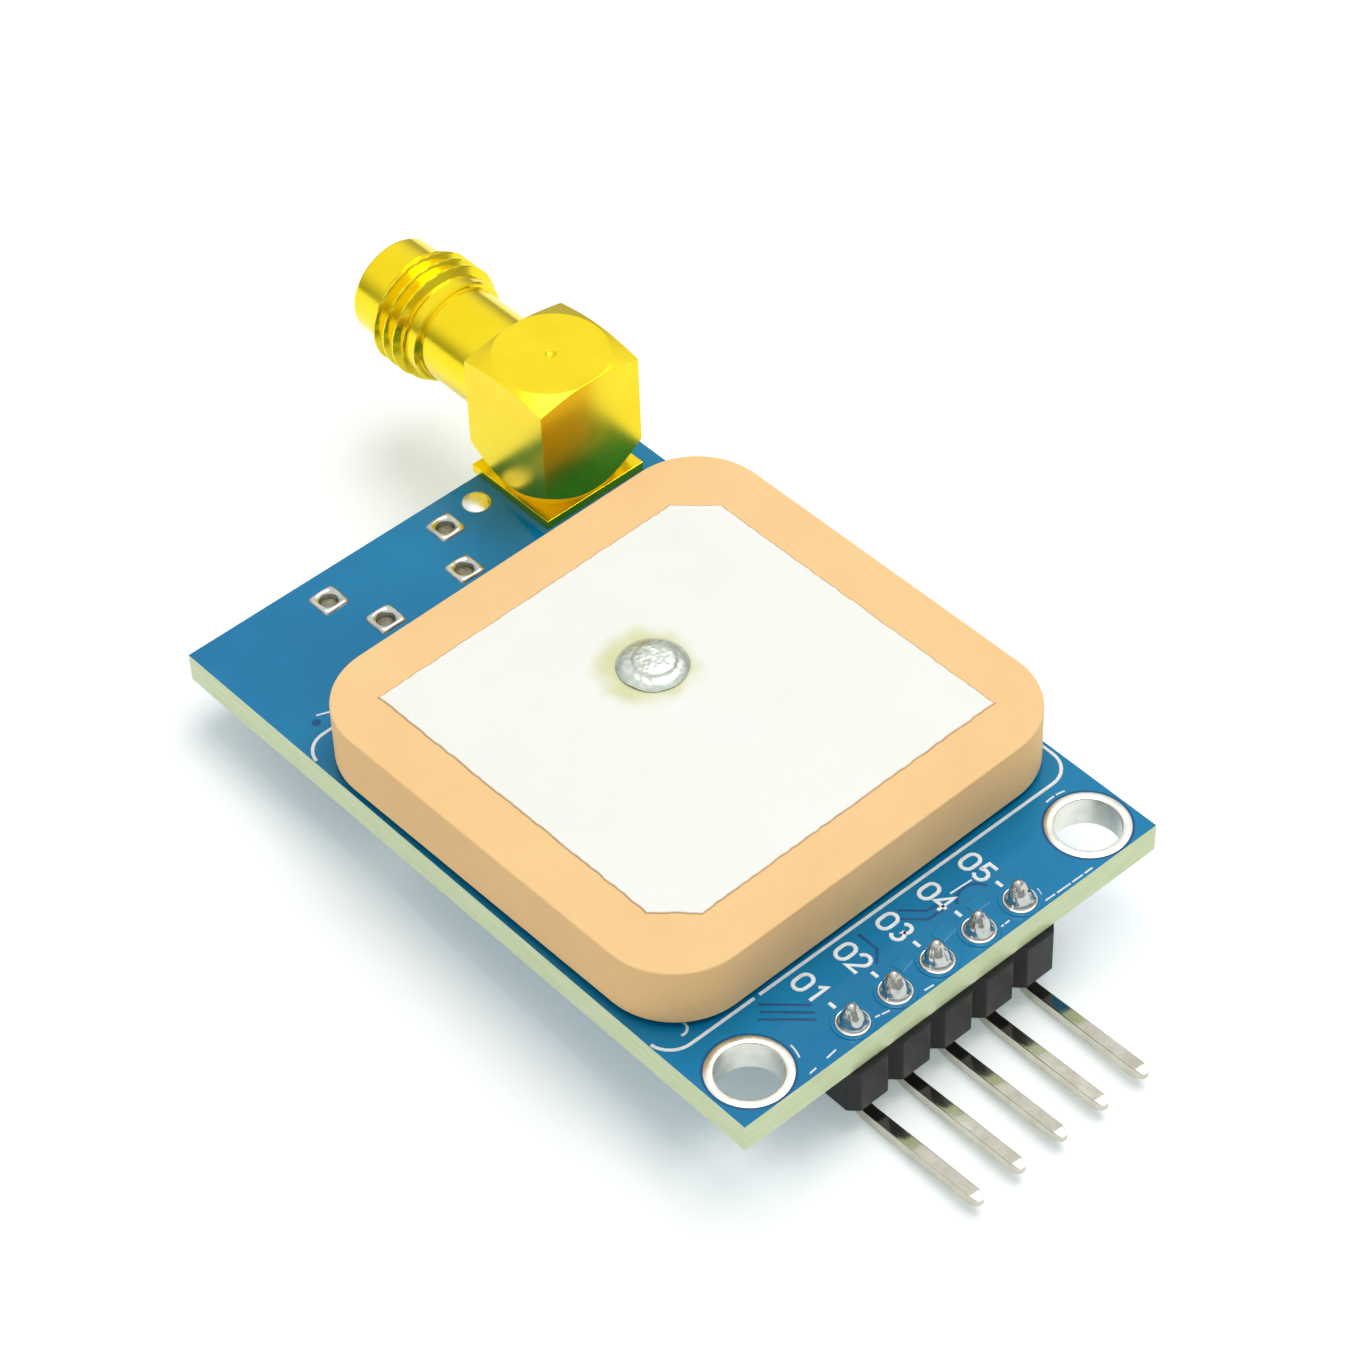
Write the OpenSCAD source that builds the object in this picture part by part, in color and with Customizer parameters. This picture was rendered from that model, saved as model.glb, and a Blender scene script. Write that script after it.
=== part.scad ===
// Satellite positioning receiver board: ceramic patch antenna, right-angle coaxial aerial
// socket and a five-way pin header, with the receiver on the underside.
// Millimetres, +Z up, +Y from the header towards the aerial socket.
// The origin is midway between the two mounting holes, on the underside of the board.

/* [Board] */
// Width of the circuit board, which the ceramic block sets
board_w = 25; // [24.8:0.2:28]
// Length of the circuit board, header edge to socket edge
board_l = 38.4; // [37.6:0.2:44]
// Thickness of the circuit board
board_t = 1.6; // [1.2:0.1:2]
// Bore of the two mounting holes
hole_d = 3.1; // [2.2:0.1:3.2]
// Centre of each mounting hole to the side edge
hole_side = 2.2; // [2.2:0.05:2.7]
// Mounting hole line to the front edge
hole_inset = 2.1; // [2.1:0.1:3]
// Width of the tinned land around each mounting hole
hole_land = 0.45; // [0.2:0.05:0.5]

/* [Pin header] */
// Pitch of the header pins
pin_pitch = 2.54; // [2:0.02:2.6]
// Side of the square pins
pin_w = 0.64; // [0.5:0.02:0.7]
// Pin row to the front edge of the board
pin_inset = 1.02; // [1.02:0.02:1.4]
// Centre of the pin row from the board's centre line
header_x = -0.14; // [-0.4:0.02:0.4]
// Height of the header strip
strip_h = 2.6; // [2:0.02:3]
// Depth of the header strip, front to back
strip_d = 2.7; // [2:0.1:2.8]
// Reach of the pins past the front edge
pin_reach = 7; // [4:0.1:10]
// Centre-line radius of the bend in each pin
pin_bend_r = 1.1; // [0.6:0.05:1.4]
// Rise of the pins towards their tips, in degrees
pin_lift = 2; // [0:0.5:5]
// Height of the solder cones above the board
cone_h = 1.25; // [1.1:0.05:1.8]

/* [Patch antenna] */
// Board left bare on each side of the ceramic block
patch_margin = 0; // [0:0.25:1.5]
// Thickness of the ceramic block
patch_h = 3.25; // [2:0.05:4.5]
// Corner radius of the ceramic block
patch_r = 3.8; // [1:0.1:5]
// Centre of the block from the board's centre line
patch_x = 0.2; // [-0.3:0.05:0.3]
// Centre of the block to the front edge of the board
patch_inset = 17.65; // [17.4:0.05:18]
// Slant of the hand-set block on the board, in degrees
patch_turn = 0.75; // [0:0.05:1]
// Thickness of the adhesive sheet under the block
tape_t = 0.22; // [0.1:0.02:0.6]
// Side of the silver top electrode
electrode_w = 19.6; // [14:0.1:20.4]
// Length cut off two opposite corners of the electrode
electrode_cut = 1.7; // [0.8:0.1:3]
// Feed point to the right of the block's centre
feed_x = 0.4; // [-1:0.1:1]
// Feed point behind the block's centre
feed_y = 2.6; // [2:0.1:3.5]
// Diameter of the feed pin
feed_d = 1; // [0.8:0.1:1.2]
// Diameter of the solder dome on the feed pin
dome_d = 3.5; // [2.6:0.1:4]

/* [Aerial socket] */
// Width of the square elbow
elbow_w = 6.1; // [5.8:0.1:6.6]
// Depth of the elbow, front to back
elbow_d = 5.6; // [5.4:0.1:6]
// Height of the elbow above the board
elbow_h = 7.6; // [7.2:0.1:9]
// Thickness of the elbow's square foot
foot_t = 0.5; // [0.4:0.1:1]
// Axis of the barrel above the board
coax_h = 4.4; // [4.2:0.1:4.6]
// Elbow's centre to the right edge of the board
coax_inset = 4.25; // [4:0.05:4.6]
// Elbow's centre to the back edge of the board
coax_setback = 2.45; // [2.4:0.05:3]
// Outside diameter of the barrel's thread
thread_d = 6.25; // [6:0.05:6.4]
// Length of the barrel's thread
thread_l = 2.35; // [2:0.05:6]
// Diameter of the shoulder between neck and thread
shoulder_d = 5.5; // [5.3:0.05:5.6]
// Length of the shoulder
shoulder_l = 0.7; // [0.5:0.05:1.5]
// Diameter of the plain neck between elbow and shoulder
neck_d = 4.9; // [4.8:0.1:5.2]
// Length of the plain neck
neck_l = 4.25; // [2:0.05:5]
// Diameter of the plain collar at the barrel's mouth
collar_d = 5.2; // [5.1:0.05:5.5]
// Length of the plain collar
collar_l = 1.9; // [1.6:0.05:2.2]
// Bore of the barrel's mouth
mouth_d = 4.6; // [4.5:0.05:4.7]
// Diameter of the insulator inside the barrel
dielectric_d = 4.1; // [3.8:0.05:4.2]
// Diameter of the centre contact
contact_d = 1.27; // [1.2:0.01:1.4]
// Diameter of the foot pin
foot_pin_d = 0.8; // [0.6:0.05:0.9]
// Side of the elbow's square legs
leg_w = 0.8; // [0.6:0.05:0.9]
// Legs apart across the board
leg_dx = 4.4; // [4:0.1:4.8]
// Legs apart along the board
leg_dy = 3; // [2.8:0.1:3]

/* [Data socket] */
// Width of the data socket's shell
socket_w = 7.5; // [7.4:0.05:7.6]
// Height of the data socket's shell
socket_h = 2.5; // [2.4:0.05:2.9]
// Depth of the data socket's shell
socket_l = 5.6; // [5.4:0.1:6]
// Sheet thickness of the shell
socket_t = 0.3; // [0.2:0.05:0.35]
// Centre of the data socket to the centre of the aerial socket
socket_apart = 10.13; // [10:0.01:10.5]
// Reach of the socket's mouth past the back edge
socket_reach = 0.6; // [0.4:0.1:1]

/* [Receiver] */
// Width of the receiver's carrier
carrier_w = 16; // [15.6:0.2:17]
// Length of the receiver's carrier
carrier_l = 12.2; // [11.8:0.2:12.4]
// Thickness of the receiver's carrier
carrier_t = 0.8; // [0.6:0.1:1]
// Height of the receiver's shield can
can_h = 1.7; // [1.4:0.1:2]
// Diameter of the backup cell
cell_d = 6.8; // [5:0.1:7]
// Thickness of the backup cell
cell_t = 2.1; // [1.4:0.1:2.2]

/* [Hidden] */
$fn = 48;

// Thickness of tinned copper on the board's faces, and of plating inside holes
land_t = 0.05;
plate_t = 0.1;
// Gap between a pin's corner and the hole it is soldered in
solder_gap = 0.07;
// Overshoot of a cutting shape past the face it cuts
over = 1;
// Overlap of lengths that run on into one another
merge = 0.02;

// Board edges
front = -hole_inset;
back = front + board_l;
left = -board_w / 2;
right = board_w / 2;
hole_spacing = board_w - 2 * hole_side;

// Header
pin_count = 5;
pin_land = 0.4;
cone_step = 0.08;
pin_y = front + pin_inset;
pin_hole_r = pin_w / sqrt(2) + solder_gap;
pin_land_r = pin_hole_r + pin_land;
pin_taper = 0.5;
pin_tip_w = pin_w * 0.45;
pin_cover = 0.14;
pin_top = board_t + cone_h - pin_cover;
strip_notch = 0.45;

// Patch antenna, in layers upwards from the board
silver_t = 0.06;
patch_w = board_w - 2 * patch_margin;
patch_y = front + patch_inset;
ground_z = board_t + tape_t;
patch_z = ground_z + silver_t;
patch_top = patch_z + patch_h;
tape_margin = 0.5;
ground_margin = 0.12;
feed_gap = 0.1;
feed_clear = 0.4;
feed_head_rim = 0.4;
feed_head_d = feed_d + 2 * feed_head_rim;
feed_head_t = 0.25;
feed_out = 1;
dome_h = 0.62;

// Aerial socket
coax_x = right - coax_inset;
coax_y = back - coax_setback;
coax_z = board_t + coax_h;
elbow_back = coax_y + elbow_d / 2;
elbow_corner = norm([elbow_w, elbow_d]) / 2;
groove_in = 0.08;
groove_r = min(elbow_w, elbow_d) / 2 - groove_in;
groove_neck = 0.12;
crown_out = 0.14;
crown_r = groove_r + crown_out;
crown_drop = 0.42;
dimple_d = 0.7;
spigot_l = 1.2;
barrel_l = neck_l + shoulder_l + thread_l + collar_l;
mouth_depth = collar_l;
thread_chamfer = 0.25;
foot_ins_d = 2.6;
insulator_wall = 0.1;
insulator_past = foot_ins_d / 2 + insulator_wall;
contact_past = 0.8;
socket_hole_d = 0.94;
socket_hole_l = 3;
contact_slot = 0.16;
leg_out = 1.1;
leg_hole_r = leg_w / sqrt(2) + solder_gap;
foot_hole_r = foot_pin_d / 2 + solder_gap;
joint_h = 0.8;
joint_land = 0.35;
joint_waist = 0.12;

// Data socket
socket_x = coax_x - socket_apart;
socket_mouth = back + socket_reach;
socket_rear = socket_mouth - socket_l;
socket_bevel_w = 1.05;
socket_bevel_h = 0.9;
socket_lip = 0.25;
socket_lip_l = 0.3;
socket_leg_l = 0.7;
socket_leg_end = 0.4;
socket_pad_w = 1.5;
socket_hole_r = 0.42;
front_leg_x = socket_w / 2 - socket_t / 2;
front_leg_in = 2.34;
front_leg_y = socket_mouth - front_leg_in;
rear_leg_in = 5.15;
rear_leg_step = 0.125;
rear_leg_x = socket_w / 2 - socket_bevel_w - socket_t / 2 - rear_leg_step;
rear_leg_y = socket_mouth - rear_leg_in;
tongue_w = 3.7;
tongue_t = 0.6;
tongue_drop = 0.85;
tongue_back = 1.4;
tongue_short = 0.8;
contact_pitch = 0.65;
contact_w = 0.4;
contact_t = 0.12;
contact_short = 0.4;
test_d = 1.45;
test_gap = 1.26;
test_setback = 1.42;

// Receiver and the small parts on the underside
carrier_gap = 3.5;
carrier_x = 0;
carrier_y = pin_y + strip_d / 2 + carrier_gap + carrier_l / 2;
castle_pitch = 1.1;
castle_count = 12;
castle_r = 0.3;
can_margin = 0.8;
can_wall = 0.2;
can_r = 0.5;
receiver_size = [5, 5, 0.85];
receiver_left = 2;
crystal_size = [2.5, 2, 0.7];
crystal_off = [3.2, 1.6];
filter_size = [1.4, 1.1, 0.5];
filter_off = [3.2, -1.8];
cell_inset = 5.4;
cell_x = left + cell_inset;
cell_setback = 7.9;
cell_y = socket_rear - cell_setback;
cell_rim = 0.4;
cell_step = 0.3;
tab_t = 0.15;
tab_w = 2.4;
tab_out = 1.5;
tab_foot = 0.9;
tab_gap = 0.3;
reg_size = [2.9, 1.6, 1.05];
reg_stand = 0.1;
reg_inset = 3.1;
reg_x = left + reg_inset;
reg_setback = 2.4;
reg_y = socket_rear - reg_setback;
lead_pitch = 0.95;
lead_w = 0.4;
lead_t = 0.15;
lead_out = 0.4;
lead_foot = 0.25;
lead_drop = 0.5;
memory_size = [2, 3, 0.75];
memory_x = 6.2;
memory_gap = 4.2;
memory_y = carrier_y + carrier_l / 2 + memory_gap;
lamp_size = [0.8, 1.6, 0.3];
lamp_lens = [0.8, 1, 0.35];
chip_size = [1.6, 0.8, 0.8];
resistor_size = [0.8, 1.6, 0.45];
lamp_inset = 1.5;
resistor_inset = 3.4;
row_setback = 2;
row_pitch = 2.4;
chip_apart = 3.2;
chip_in = 1.2;
chip_setback = 4.6;
chip_gap = 2.8;
capacitor_pos = [
    [reg_x + chip_apart, reg_y],
    [coax_x - chip_in, coax_y - chip_setback],
    [memory_x - chip_gap, memory_y]
];

// Where each repeated piece stands
function pin_x(i) = header_x + (i - (pin_count - 1) / 2) * pin_pitch;
function leg_pos(i) = [
    coax_x + (i % 2 == 0 ? -1 : 1) * leg_dx / 2,
    coax_y + (i < 2 ? -1 : 1) * leg_dy / 2
];
function socket_leg(i) = [
    socket_x + (i % 2 == 0 ? -1 : 1) * (i < 2 ? front_leg_x : rear_leg_x),
    i < 2 ? front_leg_y : rear_leg_y
];
function lamp_pos(i) = [left + lamp_inset, back - row_setback - i * row_pitch];
function resistor_pos(i) = [left + resistor_inset, back - row_setback - i * row_pitch];
function feed_pos() = [
    patch_x + feed_x * cos(patch_turn) - feed_y * sin(patch_turn),
    patch_y + feed_x * sin(patch_turn) + feed_y * cos(patch_turn)
];

// A plate with rounded corners, centred, standing on z = 0
module rounded_plate(w, l, r, h) {
    translate([-w / 2 + r, -l / 2, 0]) cube([w - 2 * r, l, h]);
    translate([-w / 2, -l / 2 + r, 0]) cube([w, l - 2 * r, h]);
    for (sx = [-1, 1], sy = [-1, 1])
        translate([sx * (w / 2 - r), sy * (l / 2 - r), 0]) cylinder(r = r, h = h);
}

// A square bar along +Z whose last stretch tapers to a smaller square
module tapered_bar(w, l, taper, tip) {
    side = [[-w / 2, 0], [w / 2, 0], [w / 2, l - taper], [tip / 2, l], [-tip / 2, l], [-w / 2, l - taper]];
    intersection() {
        translate([0, w / 2, 0]) rotate([90, 0, 0]) linear_extrude(w) polygon(side);
        translate([-w / 2, 0, 0]) rotate([90, 0, 90]) linear_extrude(w) polygon(side);
    }
}

// The antenna's layers lie square to the block, which is slightly turned on the board
module on_patch(z) {
    translate([patch_x, patch_y, z]) rotate([0, 0, patch_turn]) children();
}

// Solder on the underside round a post, filling the hole it stands in
module underside_joint(hole_r) {
    fillet_r = hole_r + joint_land;
    rotate_extrude()
        polygon([[0, board_t], [hole_r, board_t], [hole_r, 0], [fillet_r, 0], [fillet_r, -land_t],
                 [hole_r + joint_waist, -joint_h * 0.4], [hole_r - solder_gap / 2, -joint_h], [0, -joint_h]]);
}

// Laminate with every drilled hole
module circuit_board() {
    color("royalblue")
    difference() {
        translate([left, front, 0]) cube([board_w, board_l, board_t]);
        for (s = [-1, 1])
            translate([s * hole_spacing / 2, 0, -over])
                cylinder(d = hole_d + 2 * plate_t, h = board_t + 2 * over);
        for (i = [0:pin_count - 1])
            translate([pin_x(i), pin_y, -over]) cylinder(r = pin_hole_r, h = board_t + 2 * over);
        translate([feed_pos().x, feed_pos().y, -over])
            cylinder(d = feed_d + 2 * feed_gap, h = board_t + 2 * over);
        translate([coax_x, coax_y, -over]) cylinder(r = foot_hole_r, h = board_t + 2 * over);
        for (i = [0:3])
            translate([leg_pos(i).x, leg_pos(i).y, -over]) cylinder(r = leg_hole_r, h = board_t + 2 * over);
        for (i = [0:3])
            translate([socket_leg(i).x, socket_leg(i).y, -over])
                cylinder(r = socket_hole_r + plate_t, h = board_t + 2 * over);
    }
}

// Plated barrel with a tinned land on both faces of the board
module plated_hole(side) {
    bore = hole_d / 2;
    land = bore + hole_land;
    color("lightsteelblue")
    translate([side * hole_spacing / 2, 0, 0])
        rotate_extrude()
            polygon([[bore, -land_t], [land, -land_t], [land, 0], [bore + plate_t, 0],
                     [bore + plate_t, board_t], [land, board_t], [land, board_t + land_t],
                     [bore, board_t + land_t]]);
}

// Moulded strip of joined octagonal blocks, one per pin
module header_strip() {
    c = strip_notch;
    p = pin_pitch / 2;
    d = strip_d / 2;
    color([0.1, 0.1, 0.1])
    difference() {
        for (i = [0:pin_count - 1])
            translate([pin_x(i), pin_y, -strip_h])
                linear_extrude(strip_h)
                    polygon([[-p, -d + c], [-p + c, -d], [p - c, -d], [p, -d + c],
                             [p, d - c], [p - c, d], [-p + c, d], [-p, d - c]]);
        for (i = [0:pin_count - 1])
            translate([pin_x(i) - pin_w / 2, pin_y - pin_w / 2, -strip_h - over])
                cube([pin_w, pin_w, strip_h + 2 * over]);
    }
}

// The straight upper part of a pin, through strip, board and solder
module pin_post() {
    translate([0, 0, -strip_h - merge]) tapered_bar(pin_w, strip_h + merge + pin_top, pin_taper, pin_tip_w);
}

// Square pin, bent under the strip to run out past the front edge
module header_pin(i) {
    turn = 90 + pin_lift;
    run_y = -pin_bend_r + pin_bend_r * cos(turn);
    run_z = -strip_h - pin_bend_r * sin(turn);
    run_l = (pin_inset + pin_reach + run_y) / cos(pin_lift);
    color("gainsboro")
    translate([pin_x(i), pin_y, 0]) {
        pin_post();
        translate([0, -pin_bend_r, -strip_h])
            rotate([-90, 0, 90])
                rotate_extrude(angle = turn) translate([pin_bend_r, 0]) square(pin_w, center = true);
        translate([0, run_y, run_z])
            rotate([90 - pin_lift, 0, 0])
                translate([0, 0, -merge]) tapered_bar(pin_w, run_l + merge, pin_taper, pin_tip_w);
    }
}

// Pointed solder cone on its tinned land, with the plug that fills the hole
module header_solder(i) {
    r0 = pin_land_r - cone_step;
    color("silver")
    translate([pin_x(i), pin_y, 0])
    difference() {
        rotate_extrude()
            polygon([[0, 0], [pin_hole_r, 0], [pin_hole_r, board_t], [pin_land_r, board_t],
                     [pin_land_r, board_t + land_t], [r0, board_t + land_t],
                     [r0 * 0.86, board_t + cone_h * 0.3], [r0 * 0.62, board_t + cone_h * 0.64],
                     [r0 * 0.4, board_t + cone_h * 0.93], [r0 * 0.22, board_t + cone_h],
                     [0, board_t + cone_h]]);
        pin_post();
    }
}

// Ceramic block with its feed hole
module ceramic_block() {
    color("burlywood")
    on_patch(patch_z)
    difference() {
        rounded_plate(patch_w, patch_w, patch_r, patch_h);
        translate([feed_x, feed_y, -over]) cylinder(d = feed_d + 2 * feed_gap, h = patch_h + 2 * over);
    }
}

// Silver electrode with two opposite corners cut off
module top_electrode() {
    e = electrode_w / 2;
    c = electrode_cut;
    color("whitesmoke")
    on_patch(patch_top)
    difference() {
        linear_extrude(silver_t)
            polygon([[-e, e], [-e, -e + c], [-e + c, -e], [e, -e], [e, e - c], [e - c, e]]);
        translate([feed_x, feed_y, -over]) cylinder(d = feed_d + 2 * feed_gap, h = silver_t + 2 * over);
    }
}

// Silver over the block's underside, clear of the feed pin
module ground_electrode() {
    w = patch_w - 2 * ground_margin;
    color("whitesmoke")
    on_patch(ground_z)
    difference() {
        rounded_plate(w, w, patch_r - ground_margin, silver_t);
        translate([feed_x, feed_y, -over]) cylinder(d = feed_d + 2 * feed_clear, h = silver_t + 2 * over);
    }
}

// Dark adhesive sheet between block and board
module adhesive_sheet() {
    w = patch_w - 2 * tape_margin;
    color([0.08, 0.08, 0.08])
    on_patch(board_t)
    difference() {
        rounded_plate(w, w, patch_r - tape_margin, tape_t);
        translate([feed_x, feed_y, -over]) cylinder(d = feed_d + 2 * feed_clear, h = tape_t + 2 * over);
    }
}

// Nail-headed feed pin, from the electrode down through the board
module feed_pin() {
    top = patch_top + silver_t;
    color("gold")
    on_patch(0) translate([feed_x, feed_y, 0]) {
        translate([0, 0, -feed_out]) cylinder(d = feed_d, h = feed_out + top);
        translate([0, 0, top]) cylinder(d = feed_head_d, h = feed_head_t);
    }
}

// Solder dome over the head of the feed pin
module feed_solder_top() {
    r = dome_d / 2;
    color("silver")
    on_patch(patch_top + silver_t) translate([feed_x, feed_y, 0])
    difference() {
        rotate_extrude()
            polygon([[0, 0], [r, 0], [r * 0.97, dome_h * 0.16], [r * 0.86, dome_h * 0.46],
                     [r * 0.66, dome_h * 0.76], [r * 0.42, dome_h * 0.94], [r * 0.2, dome_h], [0, dome_h]]);
        translate([0, 0, -over]) cylinder(d = feed_head_d, h = over + feed_head_t);
    }
}

// Joint of the feed pin on the underside
module feed_solder_bottom() {
    r = feed_d / 2 + feed_gap;
    color("silver")
    translate([feed_pos().x, feed_pos().y, 0])
    difference() {
        underside_joint(r);
        translate([0, 0, -feed_out]) cylinder(d = feed_d, h = feed_out + board_t + over);
    }
}

// Everything bored out of the elbow
module elbow_bores() {
    // seat of the barrel's spigot, then the insulator's bore
    translate([coax_x, elbow_back - spigot_l, coax_z])
        rotate([-90, 0, 0]) cylinder(d = neck_d, h = spigot_l + over);
    translate([coax_x, coax_y - insulator_past, coax_z])
        rotate([-90, 0, 0]) cylinder(d = dielectric_d, h = elbow_d / 2 + insulator_past + over);
    // bore of the foot insulator, up into the insulator's bore
    translate([coax_x, coax_y, board_t - over]) cylinder(d = foot_ins_d, h = over + coax_h);
}

// Square bar turned at both ends: a shallow cone crowns the top, and a cone above the
// square foot runs out in arcs on the flat faces
module coax_elbow() {
    r = elbow_corner + over;
    color("gold")
    difference() {
        union() {
            intersection() {
                translate([coax_x - elbow_w / 2, coax_y - elbow_d / 2, board_t])
                    cube([elbow_w, elbow_d, elbow_h]);
                translate([coax_x, coax_y, board_t])
                    rotate_extrude()
                        polygon([[0, 0], [r, 0], [r, foot_t], [groove_r, foot_t],
                                 [groove_r, foot_t + groove_neck], [r, foot_t + groove_neck + r - groove_r],
                                 [r, elbow_h - crown_drop * (r - crown_r) / (elbow_corner - crown_r)],
                                 [crown_r, elbow_h], [0, elbow_h]]);
            }
            for (i = [0:3])
                translate([leg_pos(i).x - leg_w / 2, leg_pos(i).y - leg_w / 2, -leg_out])
                    cube([leg_w, leg_w, board_t + leg_out]);
        }
        elbow_bores();
        translate([coax_x, coax_y, board_t + elbow_h + dimple_d * 0.3]) sphere(d = dimple_d);
    }
}

// Turned barrel pressed into the elbow: spigot, neck, shoulder, thread and collar
module coax_barrel() {
    r_in = dielectric_d / 2;
    r_neck = neck_d / 2;
    r_thread = thread_d / 2;
    r_collar = collar_d / 2;
    r_shoulder = shoulder_d / 2;
    y1 = neck_l;
    y2 = y1 + shoulder_l;
    y3 = y2 + thread_l;
    c = thread_chamfer;
    color("gold")
    translate([coax_x, elbow_back, coax_z])
        rotate([-90, 0, 0])
            rotate_extrude()
                polygon([[r_in, -spigot_l], [r_neck, -spigot_l], [r_neck, y1], [r_shoulder, y1],
                         [r_shoulder, y2], [r_thread - c, y2], [r_thread, y2 + c], [r_thread, y3 - c],
                         [r_thread - c, y3], [r_collar, y3], [r_collar, barrel_l - c / 2],
                         [r_collar - c / 2, barrel_l], [mouth_d / 2, barrel_l],
                         [mouth_d / 2, barrel_l - mouth_depth], [r_in, barrel_l - mouth_depth]]);
}

// Pale insulator from inside the elbow to the contact face in the mouth
module coax_insulator() {
    l = elbow_d / 2 + insulator_past + barrel_l - mouth_depth;
    color("white")
    difference() {
        translate([coax_x, coax_y - insulator_past, coax_z])
            rotate([-90, 0, 0]) cylinder(d = dielectric_d, h = l);
        translate([coax_x, coax_y - contact_past, coax_z])
            rotate([-90, 0, 0]) cylinder(d = contact_d, h = l + over);
        foot_post();
    }
}

// Centre contact: a slotted socket at the mouth, drilled across for the foot pin
module coax_contact() {
    l = elbow_d / 2 + contact_past + barrel_l - mouth_depth;
    color("gold")
    difference() {
        translate([coax_x, coax_y - contact_past, coax_z])
        rotate([-90, 0, 0])
        difference() {
            cylinder(d = contact_d, h = l);
            translate([0, 0, l - socket_hole_l]) cylinder(d = socket_hole_d, h = socket_hole_l + over);
            for (a = [0, 90])
                rotate([0, 0, a])
                    translate([-contact_slot / 2, -contact_d, l - socket_hole_l * 0.8])
                        cube([contact_slot, 2 * contact_d, socket_hole_l]);
        }
        foot_post();
    }
}

// Sleeve round the foot pin inside the elbow
module coax_foot_insulator() {
    color("white")
    difference() {
        translate([coax_x, coax_y, board_t]) cylinder(d = foot_ins_d, h = coax_h - dielectric_d / 2);
        foot_post();
    }
}

// The foot pin's own shape, from under the board up into the contact
module foot_post() {
    translate([coax_x, coax_y, -leg_out]) cylinder(d = foot_pin_d, h = leg_out + coax_z + contact_d / 4);
}

// Foot pin
module coax_foot_pin() {
    color("gold") foot_post();
}

// Joint of the foot pin
module coax_pin_solder() {
    color("silver")
    difference() {
        translate([coax_x, coax_y, 0]) underside_joint(foot_hole_r);
        foot_post();
    }
}

// Joint of one elbow leg
module coax_leg_solder(i) {
    color("silver")
    translate([leg_pos(i).x, leg_pos(i).y, 0])
    difference() {
        underside_joint(leg_hole_r);
        translate([-leg_w / 2, -leg_w / 2, -leg_out]) cube([leg_w, leg_w, leg_out + board_t + over]);
    }
}

// Section of the data socket's shell, drawn in by t: narrow next to the board, wide below
module socket_section(t) {
    w = socket_w / 2 - t;
    n = socket_w / 2 - socket_bevel_w - t * 0.45;
    polygon([[-n, -t], [n, -t], [w, -socket_bevel_h - t * 0.45], [w, -socket_h + t], [-w, -socket_h + t],
             [-w, -socket_bevel_h - t * 0.45]]);
}

// Folded shell with four legs through the board and a flared lip at its mouth
module data_socket_shell() {
    color("silver")
    difference() {
        union() {
            translate([socket_x, socket_mouth, 0])
                rotate([90, 0, 0]) linear_extrude(socket_l) socket_section(0);
            translate([socket_x, socket_mouth, 0])
                rotate([90, 0, 0]) linear_extrude(socket_lip_l) socket_section(-socket_lip);
            for (i = [0:3])
                translate([socket_leg(i).x - socket_t / 2, socket_leg(i).y - socket_leg_l / 2,
                           i < 2 ? -socket_bevel_h - socket_t : -socket_t / 2])
                    cube([socket_t, socket_leg_l,
                          board_t - socket_leg_end + (i < 2 ? socket_bevel_h + socket_t : socket_t / 2)]);
        }
        translate([socket_x, socket_mouth + over, 0])
            rotate([90, 0, 0]) linear_extrude(socket_l + 2 * over) socket_section(socket_t);
    }
}

// Moulded body that closes the rear of the shell and carries the tongue
module data_socket_tongue() {
    color([0.12, 0.12, 0.12]) {
        translate([socket_x, socket_rear + tongue_back, 0])
            rotate([90, 0, 0]) linear_extrude(tongue_back) socket_section(socket_t);
        translate([socket_x - tongue_w / 2, socket_rear + tongue_back, -tongue_drop - tongue_t])
            cube([tongue_w, socket_l - tongue_back - tongue_short, tongue_t]);
    }
}

// Five spring contacts lying on the tongue
module data_socket_contacts() {
    color("gold")
    for (i = [-2:2])
        translate([socket_x + i * contact_pitch - contact_w / 2, socket_rear + tongue_back,
                   -tongue_drop - tongue_t - contact_t])
            cube([contact_w, socket_l - tongue_back - tongue_short - contact_short, contact_t]);
}

// Square tinned pad with the plated hole of one shell leg
module data_socket_pad(i) {
    color("silver")
    translate([socket_leg(i).x, socket_leg(i).y, 0])
    difference() {
        union() {
            cylinder(r = socket_hole_r + plate_t, h = board_t);
            translate([-socket_pad_w / 2, -socket_pad_w / 2, board_t])
                cube([socket_pad_w, socket_pad_w, land_t]);
        }
        translate([0, 0, -over]) cylinder(r = socket_hole_r, h = board_t + 2 * over);
    }
}

// Round tinned pad beside the aerial socket
module test_pad() {
    color("silver")
    translate([coax_x - elbow_w / 2 - test_gap, back - test_setback, board_t])
        cylinder(d1 = test_d, d2 = test_d - 3 * land_t, h = 2 * land_t);
}

// Carrier of the receiver with half-round castellations along its long edges
module receiver_carrier() {
    color("darkgreen")
    translate([carrier_x, carrier_y, -carrier_t])
    difference() {
        translate([-carrier_w / 2, -carrier_l / 2, 0]) cube([carrier_w, carrier_l, carrier_t]);
        for (sy = [-1, 1], i = [0:castle_count - 1])
            translate([(i - (castle_count - 1) / 2) * castle_pitch, sy * carrier_l / 2, -over])
                cylinder(r = castle_r, h = carrier_t + 2 * over, $fn = 16);
    }
}

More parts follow.
